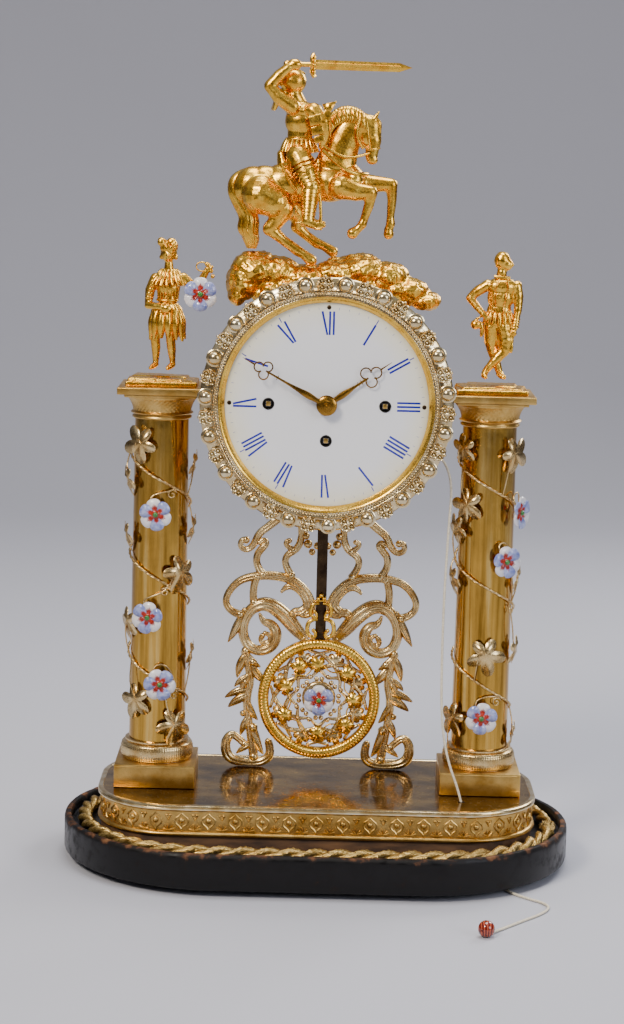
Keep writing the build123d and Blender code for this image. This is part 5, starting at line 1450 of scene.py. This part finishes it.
# tail: strands that leave the dock in an arch and wave down to the rock
for strand in range(22):
    angle = TURN * strand / 22
    out = Vector((math.cos(angle), math.sin(angle), 0))
    wave = 1.2 * math.sin(strand * 1.9)
    route = [Vector((-51, 0, 419)) + out * 0.8, Vector((-57.6, 0, 416)) + out * 1.4,
             Vector((-58.8, 0, 407)) + out * 2.2, Vector((-53.4 + wave, 0, 399)) + out * 3.0,
             Vector((-48.6, 0, 391)) + out * 4.0, Vector((-50.0 + wave, 0, 384)) + out * 4.2,
             Vector((-46.6 - wave, 0, 378)) + out * 3.2, Vector((-47.2, 0, 373)) + out * 2.2]
    wire(locks, route, [1.4, 1.9, 2.0, 2.0, 2.1, 1.9, 1.5, 0.7], detail=2, samples=5)
copy_into(bm, locks, Matrix.Identity(4))
locks.free()
# bridle, reins, breast collar and the edge of the saddle cloth
for route, width in (
        ([(19.4, -5.6, 449.4), (20.4, -5.8, 441), (22.0, -5.0, 432.4)], 0.8),
        ([(27.6, -2.2, 434.0), (25.0, -5.0, 433.4), (20.4, -5.0, 432.4), (17.4, -4.0, 436)], 0.7),
        ([(15.6, -6.4, 452), (13.4, -7.4, 445), (14.6, -6.8, 437.6), (17.8, -5.0, 433.6)], 0.9),
        ([(21.4, -5.0, 431), (12, -9.4, 427.4), (2, -9.8, 429.4), (-6, -9.4, 435)], 0.8),
        ([(-6, -9.4, 432), (3, -11.0, 424), (12.0, -9.8, 418.8), (19.0, -4.6, 418.4), (20.6, 0, 418.4)],
         1.3),
        ([(-30.4, -9.6, 424), (-27.0, -11.6, 415), (-21.0, -12.2, 408)], 1.0)):
    for y_sign in (-1, 1):
        wire(bm, [(px, -y_sign * py, pz) for px, py, pz in route], width, detail=1, samples=6)
piece("gilt_horse", bm, figure_gilt, replaces=["horse"])

bm = bmesh.new()
# saddle
ball(bm, (-20, 0, 422), 10.8, (1.15, 1.0, 0.45), 24)
chain(bm, [(-29, 0, 423), (-30.6, 0, 429)], [4.2, 2.8], 14, 1.5)
chain(bm, [(-9, 0, 423), (-6.6, 0, 429)], [3.2, 2.0], 14, 1.4)
# breastplate, neck and shoulders
ball(bm, (-20, 0, 433), 8.0, (1.0, 0.95, 0.9), 20)
ball(bm, (-19.8, 0, 441), 7.6, (1.0, 0.95, 1.1), 20)
ball(bm, (-19.4, 0, 448.6), 9.6, (1.0, 0.95, 1.0), 24)
ball(bm, (-18.6, 0, 454.4), 8.8, (1.15, 1.05, 0.65), 20)
for y_sign in (-1, 1):
    ball(bm, (-12.4, 7.2 * y_sign, 455.2), 4.8, (1.2, 0.95, 0.9), 14)
chain(bm, [(-20.4, 0, 458), (-23.8, 0, 463.6)], [4.6, 4.8], 14)
# helmet: bowl, brim, raised visor and comb
ball(bm, (-24.6, 0, 471.6), 7.4, (1.06, 0.9, 1.02), 24)
ball(bm, (-30.6, 0, 470.6), 4.6, (1.25, 1.0, 0.45), 16)
chain(bm, [(-33.6, 0, 472.6), (-30.2, 0, 476.2), (-24.6, 0, 479.0), (-18.6, 0, 476.4)],
      [1.2, 1.5, 1.6, 1.2], 12, 0.6)
chain(bm, [(-28.6, 0, 464.4), (-29.4, 0, 460.4)], [3.6, 3.0], 14)
limb(bm, (-31.6, 0, 466.4), (-33.2, 0, 464.2), 1.1, 1.2, 10)
for strand in range(7):
    sway = strand - 3
    chain(bm, [(-31.6, 0.6 * sway, 462.4), (-34.2, 1.2 * sway, 459.4),
               (-36.4 + 0.4 * abs(sway), 1.2 * sway, 455.4)],
          [1.8, 2.1, 1.1], 10)
# raised sword arm: elbow ahead of the face, hand over the helmet
chain(bm, [(-24.4, -7.2, 456.6), (-32.4, -8.6, 462.0), (-38.2, -8.0, 468.6)], [4.8, 4.3, 3.5])
chain(bm, [(-38.2, -8.0, 468.6), (-33.0, -8.0, 474.8), (-27.4, -7.6, 479.6)], [3.6, 3.4, 2.9])
ball(bm, (-24.0, -7.2, 481.4), 3.5, (1.3, 0.9, 1.0), 14)
# bridle arm
chain(bm, [(-12.4, -7.6, 455.2), (-6.2, -9.8, 448.6), (-5.0, -9.6, 443.6)], [4.6, 4.2, 3.4])
chain(bm, [(-5.0, -9.6, 443.6), (-5.6, -8.6, 438.6), (-6.6, -7.4, 434.4)], [3.3, 2.8, 2.2])
chain(bm, [(-12.4, 7.6, 455.2), (-6.2, 9.0, 447.6), (-5.6, 6.6, 439.4)], [4.6, 3.8, 2.6])
for y_sign in (-1, 1):
    chain(bm, [(-20.4, 7.6 * y_sign, 428), (-15.6, 12.6 * y_sign, 419), (-12.6, 13.4 * y_sign, 410.4)],
          [7.6, 6.4, 5.0])
    chain(bm, [(-12.8, 13.4 * y_sign, 409.4), (-13.6, 13.4 * y_sign, 400), (-13.8, 13.4 * y_sign, 391.4)],
          [4.9, 4.4, 3.3])
    chain(bm, [(-14.4, 13.4 * y_sign, 390), (-9.0, 13.8 * y_sign, 388.0), (-4.6, 14.2 * y_sign, 388.2)],
          [3.1, 2.6, 1.5])
    wire(bm, [(-9, 12.6 * y_sign, 412), (-6.0, 14.8 * y_sign, 402), (-6.4, 15.0 * y_sign, 390)], 1.1,
         detail=1)
    box(bm, (-7.6, 14.0 * y_sign, 385.8), (4.6, 6.0, 1.0), 0.3)
    limb(bm, (-17.4, 13.6 * y_sign, 389.6), (-21.4, 13.8 * y_sign, 389.0), 1.2, 0.5, 8)
bm = fused(bm, 0.5, 2, 0.08, 3.0, 0.1)
# fluted tassets below the waist
for pleat in range(18):
    turn = TURN * pleat / 18
    waist = Vector((-20 + 7.6 * math.cos(turn), 7.0 * math.sin(turn), 437.6))
    hem = Vector((-20 + 10.2 * math.cos(turn), 9.6 * math.sin(turn), 430.4))
    wire(bm, [waist, (waist + hem) / 2 + Vector((0, 0, 1.4)), hem], [1.2, 1.8, 1.7], detail=2, samples=3)
ring = [(-20 + 7.9 * math.cos(TURN * k / 12), 7.4 * math.sin(TURN * k / 12), 438.2) for k in range(12)]
wire(bm, ring, 1.0, detail=1, samples=3, closed=True)
# lames of thigh, knee and shin
for y_sign in (-1, 1):
    for start, end, wide, count, tip in (((-18.6, 10.4, 424.4), (-12.8, 13.4, 411.6), 7.6, 7, 5.5),
                                         ((-12.8, 13.4, 408.2), (-13.8, 13.4, 392.6), 5.5, 8, 4.0)):
        start = Vector((start[0], start[1] * y_sign, start[2]))
        end = Vector((end[0], end[1] * y_sign, end[2]))
        along = (end - start).to_track_quat("Z", "Y").to_matrix().to_4x4()
        for lame in range(count):
            share = lame / (count - 1)
            radius = wide + (tip - wide) * share
            bmesh.ops.create_cone(bm, cap_ends=False, segments=22, radius1=radius * 0.97,
                                  radius2=radius * 1.07,
                                  depth=(end - start).length / count,
                                  matrix=Matrix.Translation(start + (end - start) * share) @ along)
    ball(bm, (-11.6, 14.6 * y_sign, 410.0), 4.6, (0.9, 0.7, 1.0), 16)
# broad plates of the bridle arm and its flared elbow guard
for plate, (px, pz, lean, wide, high) in enumerate(((-10.8, 449.6, 14, 7.6, 6.0),
                                                    (-9.6, 443.6, 14, 7.2, 5.4),
                                                   (-8.2, 438.6, 18, 6.2, 4.4),
                                                   (-4.4, 451.8, -28, 5.4, 7.2))):
    box(bm, (px, -13.2 + 0.5 * plate, pz), (wide, 1.2, high), 0.5, 2,
        Matrix.Rotation(math.radians(-lean), 4, "Y"))
bmesh.ops.create_cone(bm, cap_ends=True, segments=3, radius1=6.2, radius2=5.6, depth=1.2,
                      matrix=Matrix.Translation((-3.2, -11.6, 456.8)) @ Matrix.Rotation(math.radians(90), 4,
                                                                                        "X")
                      @ Matrix.Rotation(math.radians(62), 4, "Z") @ Matrix.Diagonal((1.1, 0.72, 1, 1)))
piece("gilt_rider", bm, figure_gilt, replaces=["rider"])

bm = bmesh.new()
blade = Matrix.Rotation(math.radians(90.6), 4, "Y")
for shift, depth, low, high in ((12.6, 50.4, 2.9, 2.6), (41.6, 7.6, 2.6, 0.05)):
    bmesh.ops.create_cone(bm, cap_ends=True, segments=4, radius1=low, radius2=high, depth=depth,
                          matrix=Matrix.Translation((shift, -7.0, 481.5 - 0.01 * (shift - 12))) @ blade
                          @ Matrix.Diagonal((1.0, 0.30, 1, 1)))
for flute in (-0.85, 0.85):
    limb(bm, (-12, -7.5, 481.6 + flute), (38, -7.5, 481.1 + flute * 0.8), 0.5, 0.4, 8)
limb(bm, (-28.0, -7.0, 481.7), (-13.4, -7.0, 481.6), 1.5, 1.4, 12)
ball(bm, (-28.4, -7.0, 481.7), 2.1, detail=12)
wire(bm, [(-12.0, -7.0, 474.4), (-14.0, -7.0, 477), (-13.0, -7.0, 481.6), (-14.0, -7.0, 485.4),
          (-12.6, -7.0, 488.0)],
     [1.2, 1.5, 1.2, 1.5, 1.1], detail=2, samples=4)
for lobe in range(5):
    ball(bm, (-12.2, -8.6, 477.2 + 2.1 * lobe), 1.6, (0.5, 0.8, 1), 10)
crisp(piece("gilt_sword", bm, figure_gilt, replaces=["sword"]), 25)

# ---- standing figures ----------------------------------------------------------------------
figure_floor = abacus_high.z
lowest_ground = figure_floor - 5.9


def rocky_plinth(bm, x, blocks):
    """Cast ground of chamfered ledges; each block is (x, y, size x, size y, height)."""
    for bx, by, wide, deep, high in blocks:
        box(bm, (x + bx, by, figure_floor + high / 2), (wide, deep, high), min(1.1, high * 0.3), 2,
            Matrix.Rotation(math.radians(7 * math.sin(bx + by)), 4, "Z"))


bm = bmesh.new()
ball(bm, (-98.4, 0, 334.5), 6.4, (1.0, 0.85, 1.0), 18)
ball(bm, (-96.6, 0, 340.5), 5.6, (1.0, 0.82, 1.2), 18)
ball(bm, (-96.4, 0, 348.5), 7.0, (1.02, 0.8, 1.0), 18)
ball(bm, (-96.0, 0, 354.0), 8.0, (1.1, 0.72, 0.6), 18)
chain(bm, [(-96.4, 0, 356.5), (-96.4, 0, 362.5)], [3.2, 2.6], 14)
ball(bm, (-96.6, -0.4, 368.2), 4.3, (0.98, 1.0, 1.18), 20)
ball(bm, (-96.6, 1.0, 368.6), 4.5, (1.14, 1.0, 1.0), 16)
for turned in (-1, 1):
    ball(bm, (-96.6 + 4.5 * turned, 0, 366.4), 1.4, (0.8, 0.9, 1.2), 8)
    ball(bm, (-96.6 + 1.5 * turned, -4.3, 369.0), 0.55, detail=8)
limb(bm, (-96.6, -4.1, 369.4), (-96.6, -5.0, 367.3), 0.5, 0.8, 8)
limb(bm, (-97.5, -4.4, 365.6), (-95.7, -4.4, 365.6), 0.4, 0.4, 8)
# feathered band and plumes
for feather in range(12):
    turn = TURN * feather / 12
    root = Vector((-96.6 + 4.3 * math.cos(turn), 0.2 + 4.1 * math.sin(turn), 371.2))
    limb(bm, root, root + Vector((0.5 * math.cos(turn), 0.5 * math.sin(turn), 2.8)), 1.1, 0.8, 8)
chain(bm, [(-97.6, 0, 372), (-99.4, -0.6, 375.0), (-101.2, -1.2, 376.0)], [2.2, 2.3, 2.3], 12, 0.8)
ball(bm, (-101.0, -1.6, 375.4), 2.6, (1, 0.8, 1.05), 12)
chain(bm, [(-96, 0, 372), (-95.0, -0.6, 375.2), (-93.8, -0.6, 374.6)], [2.6, 2.9, 2.2], 12, 0.8)
# arms
chain(bm, [(-104.4, 0, 353.6), (-107.4, 0.4, 346.4), (-108.2, -0.6, 338.4)], [3.2, 3.1, 2.4])
chain(bm, [(-108.2, -1.0, 337.6), (-103.8, -5.4, 337.4), (-99.4, -8.6, 337.0)], [2.5, 2.2, 1.8])
ball(bm, (-96.8, -9.0, 336.2), 3.1, (1.1, 0.8, 1), 14)
chain(bm, [(-87.6, 0, 354.4), (-82.4, -0.6, 350.2), (-78.2, -1.4, 350.0)], [3.1, 2.8, 2.4])
chain(bm, [(-78.2, -1.4, 350.0), (-76.0, -2.0, 354.6), (-73.8, -2.6, 358.6)], [2.4, 2.2, 1.8])
ball(bm, (-72.8, -2.8, 360.0), 2.0, (1.1, 0.8, 1), 12)
limb(bm, (-72.2, -3.0, 359.2), (-70.4, -3.4, 361.6), 1.2, 0.9, 10)
# legs
for sole, knee, hip in ((-103.8, -104.0, -101.6), (-93.6, -94.6, -94.6)):
    chain(bm, [(hip, 0, 331), (knee, -0.6, 318.4), (knee + 0.6, 0.4, 311.4), (sole + 0.4, 0.6, 302.6)],
          [5.0, 3.0, 2.7, 1.7])
    chain(bm, [(sole + 0.4, 0.6, 302.0), (sole - 1.4, -2.6, 300.8), (sole - 2.4, -5.2, 300.2)],
          [1.9, 1.7, 1.2])
rocky_plinth(bm, -99, ((0, 0, 43.0, 34.0, 3.2), (-11, -4, 17.0, 20.0, 5.0), (3.6, -6, 19.0, 16.0, 4.6),
                       (13, -1, 13.0, 22.0, 3.8), (-6, 4, 24.0, 16.0, 5.6), (6, 5, 18.0, 15.0, 5.2),
                       (-16, -7, 9.0, 12.0, 4.0)))
bm = fused(bm, 0.45, 3, 0.10, 2.4, 0.12)
for vert in bm.verts:
    vert.co.z = max(vert.co.z, lowest_ground)
# two-tier scalloped cape
for wide, drop, count, high in ((7.6, 4.4, 15, 357.8), (11.0, 5.0, 19, 354.8)):
    for scallop in range(count):
        turn = TURN * scallop / count
        root = Vector((-96.2 + 0.55 * wide * math.cos(turn), 0.44 * wide * math.sin(turn), high + 1.2))
        tip = Vector((-96.2 + wide * math.cos(turn), 0.78 * wide * math.sin(turn), high - drop))
        wire(bm, [root, (root + tip) / 2 + Vector((0, 0, 1.0)), tip], [1.0, 1.7, 1.0], detail=2, samples=3)
# ribbed bodice and belt
for rib in range(16):
    turn = TURN * rib / 16
    wire(bm, [(-96.4 + 7.2 * math.cos(turn), 5.8 * math.sin(turn), 351),
              (-96.5 + 6.0 * math.cos(turn), 5.0 * math.sin(turn), 345.5),
              (-96.7 + 5.9 * math.cos(turn), 4.9 * math.sin(turn), 340.8)], [0.5, 0.6, 0.5], detail=1,
              samples=3)
for band in (338.2, 340.8):
    ring = [(-96.9 + 6.2 * math.cos(TURN * k / 12), 5.3 * math.sin(TURN * k / 12), band) for k in range(12)]
    wire(bm, ring, 0.9, detail=1, samples=3, closed=True)
# skirt of long pointed feathers, with a shorter row over it
for row, (count, reach_x, reach_y, hem, width) in enumerate(((13, 10.4, 8.0, 317.6, 2.6),
                                                             (11, 9.4, 7.6, 326.4, 2.0))):
    for feather in range(count):
        turn = TURN * (feather + 0.5 * row) / count
        top = Vector((-97.2 + 5.2 * math.cos(turn), 4.6 * math.sin(turn), 338.6))
        middle_point = Vector((-97.0 + 0.86 * reach_x * math.cos(turn), 0.86 * reach_y * math.sin(turn),
                               (hem + 338) / 2))
        tip = Vector((-96.6 + reach_x * math.cos(turn), reach_y * math.sin(turn),
                      hem + 1.2 * math.sin(3 * turn)))
        wire(bm, [top, middle_point + Vector((0, 0, 3)), middle_point - Vector((0, 0, 4)), tip],
             [1.2, width, width * 1.05, 0.5], detail=3, samples=4)
        out = Vector((math.cos(turn), math.sin(turn), 0)) * (width * 0.85)
        wire(bm, [top + out * 0.5, middle_point + out, tip + out * 0.3], [0.3, 0.5, 0.2], detail=1,
             samples=4)
# sleeve feathers
for step in range(5):
    share = step / 4
    ball(bm, (-105.4 - 2.6 * share, -1.6, 352 - 9.6 * share), 2.4, (1.0, 0.9, 0.7), 10)
# ring and leaf held up in the raised hand
ring = [(-76.6 + 3.3 * math.cos(TURN * k / 12), -3.0,
         361.4 + 2.8 * math.sin(TURN * k / 12)) for k in range(12)]
wire(bm, ring, 0.45, detail=1, samples=3, closed=True)
for k in range(5):
    ball(bm, (-73.6 + 0.9 * k, -3.2, 363.0 - 0.45 * k * k), 1.25, (1, 0.7, 1.1), 8)
piece("plumed_figure", bm, figure_gilt, replaces=["figure_left"])

bm = bmesh.new()
ball(bm, (101.6, 0, 333.0), 7.0, (1.05, 0.85, 0.9), 18)
ball(bm, (102.0, 0, 339.0), 6.8, (1.1, 0.85, 1.1), 18)
ball(bm, (102.6, 0, 347.0), 8.2, (1.0, 0.8, 1.0), 18)
ball(bm, (103.2, 0, 353.6), 8.6, (1.12, 0.75, 0.7), 18)
chain(bm, [(102.6, 0, 357), (102.8, -0.3, 363.0)], [3.4, 3.0], 14)
ball(bm, (102.8, 0.2, 369.2), 5.0, (0.98, 1.0, 1.12), 20)
ball(bm, (105.4, -0.6, 367.2), 4.0, (1.0, 0.95, 0.95), 16)
limb(bm, (107.6, -1.8, 368.6), (109.0, -2.6, 367.0), 1.0, 0.9, 8)
ball(bm, (99.4, -1.6, 366.8), 1.3, (0.6, 0.9, 1.3), 8)
# hand on the hip
chain(bm, [(94.6, 0, 354.6), (88.6, 0.8, 350.6), (84.4, 1.4, 346.6)], [3.4, 3.2, 2.5])
chain(bm, [(84.4, 1.4, 346.6), (88.6, -1.2, 341.4), (93.4, -3.8, 336.4)], [2.5, 2.2, 1.8])
ball(bm, (94.4, -4.2, 335.2), 2.2, (1, 0.8, 1), 10)
# ball-shaped flask, its strap and tassel
ball(bm, (88.0, -2.6, 331.0), 3.1, detail=16)
limb(bm, (88.0, -2.6, 334.0), (92.6, -3.0, 336.6), 0.7, 0.7, 8)
chain(bm, [(91.0, -3.4, 331.6), (92.0, -3.6, 328.0), (91.6, -3.6, 324.6)], [1.5, 1.3, 1.0], 10)
# arm that hangs down with a short stick
chain(bm, [(112.0, 0, 354.4), (113.4, -0.6, 347.6), (113.2, -1.6, 341.4)], [3.3, 3.0, 2.6])
chain(bm, [(113.2, -1.6, 341.4), (112.2, -3.0, 335.0), (111.4, -4.0, 329.4)], [2.6, 2.2, 1.9])
ball(bm, (111.0, -4.4, 326.6), 2.1, (0.9, 0.9, 1.1), 10)
chain(bm, [(110.6, -4.6, 327.4), (110.0, -5.0, 320.4), (109.6, -5.2, 315.6)], [1.0, 0.9, 1.1], 10)
# breeches, crossed legs and boots
chain(bm, [(105.0, -1.0, 330), (106.6, -2.2, 322.0), (106.0, -3.0, 316.4)], [6.0, 4.8, 3.6])
chain(bm, [(106.0, -3.0, 316.0), (100.0, -3.8, 309.4), (94.8, -4.0, 303.4)], [3.4, 3.0, 2.0])
chain(bm, [(94.6, -4.0, 302.6), (94.0, -6.4, 300.8), (94.6, -8.0, 300.2)], [2.2, 2.0, 1.5])
chain(bm, [(98.4, 1.0, 330), (98.2, 1.2, 321.0), (99.4, 1.6, 314.4)], [5.8, 4.6, 3.4])
chain(bm, [(99.4, 1.6, 314.4), (101.6, 1.2, 308.0), (103.6, 0.6, 302.0)], [3.3, 2.8, 2.1])
chain(bm, [(103.6, 0.6, 301.6), (104.6, -1.8, 300.4), (106.0, -3.6, 299.8)], [2.3, 2.0, 1.5])
rocky_plinth(bm, 99, ((0, 0, 43.0, 34.0, 3.0), (-9, -2, 22.0, 26.0, 4.6), (9, -4, 20.0, 20.0, 3.9),
                      (0, 4, 30.0, 20.0, 4.9), (-2, -9, 17.0, 11.0, 4.0), (15, 3, 11.0, 20.0, 3.4)))
bm = fused(bm, 0.45, 3, 0.16, 2.0, 0.15)
for vert in bm.verts:
    vert.co.z = max(vert.co.z, lowest_ground)
# open jacket: seams, collar and a scalloped hem
for route, width in (([(101.0, -6.6, 358.6), (98.0, -7.6, 354.0), (97.6, -7.2, 346.0), (97.0, -6.8, 337.0)],
                      0.45),
                     ([(105.4, -6.0, 359.0), (107.4, -6.8, 354.6), (105.6, -7.6, 348.0),
                       (104.6, -6.9, 338.0)], 0.45),
                     ([(98.4, -2.6, 360.0), (102.6, -4.4, 359.4), (107.4, -2.8, 359.2)], 1.0),
                     ([(96.0, -3.4, 339.4), (102.2, -6.6, 338.6), (109.0, -3.6, 339.2)], 0.6)):
    wire(bm, route, width, detail=2, samples=5)
for scallop in range(16):
    turn = TURN * scallop / 16
    root = Vector((102.0 + 7.0 * math.cos(turn), 6.0 * math.sin(turn), 338.4))
    tip = Vector((102.0 + 8.6 * math.cos(turn), 7.0 * math.sin(turn), 331.4 + 0.8 * math.sin(5 * turn)))
    wire(bm, [root, (root + tip) / 2 + Vector((0, 0, 0.5)), tip], [1.0, 1.7, 1.3], detail=2, samples=3)
for band in range(4):
    share = band / 3
    bmesh.ops.create_cone(bm, cap_ends=False, segments=16, radius1=2.6, radius2=2.4, depth=0.7,
                          matrix=Matrix.Translation((112.2 - 0.7 * share, -3.1 - 0.8 * share,
                                                     334.6 - 4.6 * share)))
piece("jacketed_figure", bm, figure_gilt, replaces=["figure_right"])

# ---- floor and light -----------------------------------------------------------------------
floor_mat, _, floor_shader, _ = surface("pale_studio_floor", Roughness=0.85)
floor_shader.inputs["Base Color"].default_value = linear("B9B9C2")
bm = bmesh.new()
bmesh.ops.create_grid(bm, x_segments=1, y_segments=1, size=2.2)
sweep_edge = [edge for edge in bm.edges if all(vert.co.y > 2.1 for vert in edge.verts)]
wall = bmesh.ops.extrude_edge_only(bm, edges=sweep_edge)["geom"]
bmesh.ops.translate(bm, vec=(0, 0, 2.6), verts=[item for item in wall if isinstance(item,
                                                                                    bmesh.types.BMVert)])
corner = [edge for edge in bm.edges if all(vert.co.y > 2.1 and abs(vert.co.z) < 0.01 for vert in edge.verts)]
bmesh.ops.bevel(bm, geom=corner, offset=0.9, affect="EDGES", segments=16, profile=0.5, material=-1)
floor_mesh = bpy.data.meshes.new("studio_floor")
bm.to_mesh(floor_mesh)
bm.free()
floor_mesh.shade_smooth()
floor_mesh.materials.append(floor_mat)
studio = [bpy.data.objects.new("studio_floor", floor_mesh)]
bpy.context.scene.collection.objects.link(studio[0])
world = bpy.data.worlds.new("soft_studio")
bpy.context.scene.world = world
world.use_nodes = True
sky = world.node_tree
facing_up = add(sky, "ShaderNodeSeparateXYZ", {"Vector": add(sky,
                                                             "ShaderNodeTexCoord").outputs["Generated"]})
glow = ramp(sky, add(sky, "ShaderNodeMapRange", {"Value": facing_up.outputs["Z"], "From Min": -0.4,
                                                 "From Max": 1.0})
            .outputs["Result"], ((0.0, "3A3532"), (0.35, "6E6A6C"), (0.6, "A9ABB4"), (1.0, "E4E6EC")))
background = sky.nodes["Background"]
sky.links.new(glow, background.inputs["Color"])
background.inputs["Strength"].default_value = 0.55
for name, place, target, size, power, colour in (
        ("key_light", (-0.9, -1.3, 1.5), (0, 0, 0.26), 0.55, 34.0, "FFF6E8"),
        ("fill_light", (1.3, -1.1, 0.8), (0, 0, 0.24), 0.8, 13.0, "EEF3FF"),
        ("top_light", (0.1, 0.1, 1.5), (0, 0, 0.3), 0.7, 15.0, "FFFFFF"),
        ("rim_light", (0.8, 0.9, 0.9), (0, 0, 0.35), 0.5, 9.0, "FFFFFF")):
    lamp = bpy.data.lights.new(name, "AREA")
    lamp.size = size
    lamp.energy = power
    lamp.color = linear(colour)[:3]
    obj = bpy.data.objects.new(name, lamp)
    obj.matrix_world = (Matrix.Translation(place)
                        @ (Vector(target) - Vector(place)).to_track_quat("-Z", "Y").to_matrix().to_4x4())
    bpy.context.scene.collection.objects.link(obj)
    studio.append(obj)
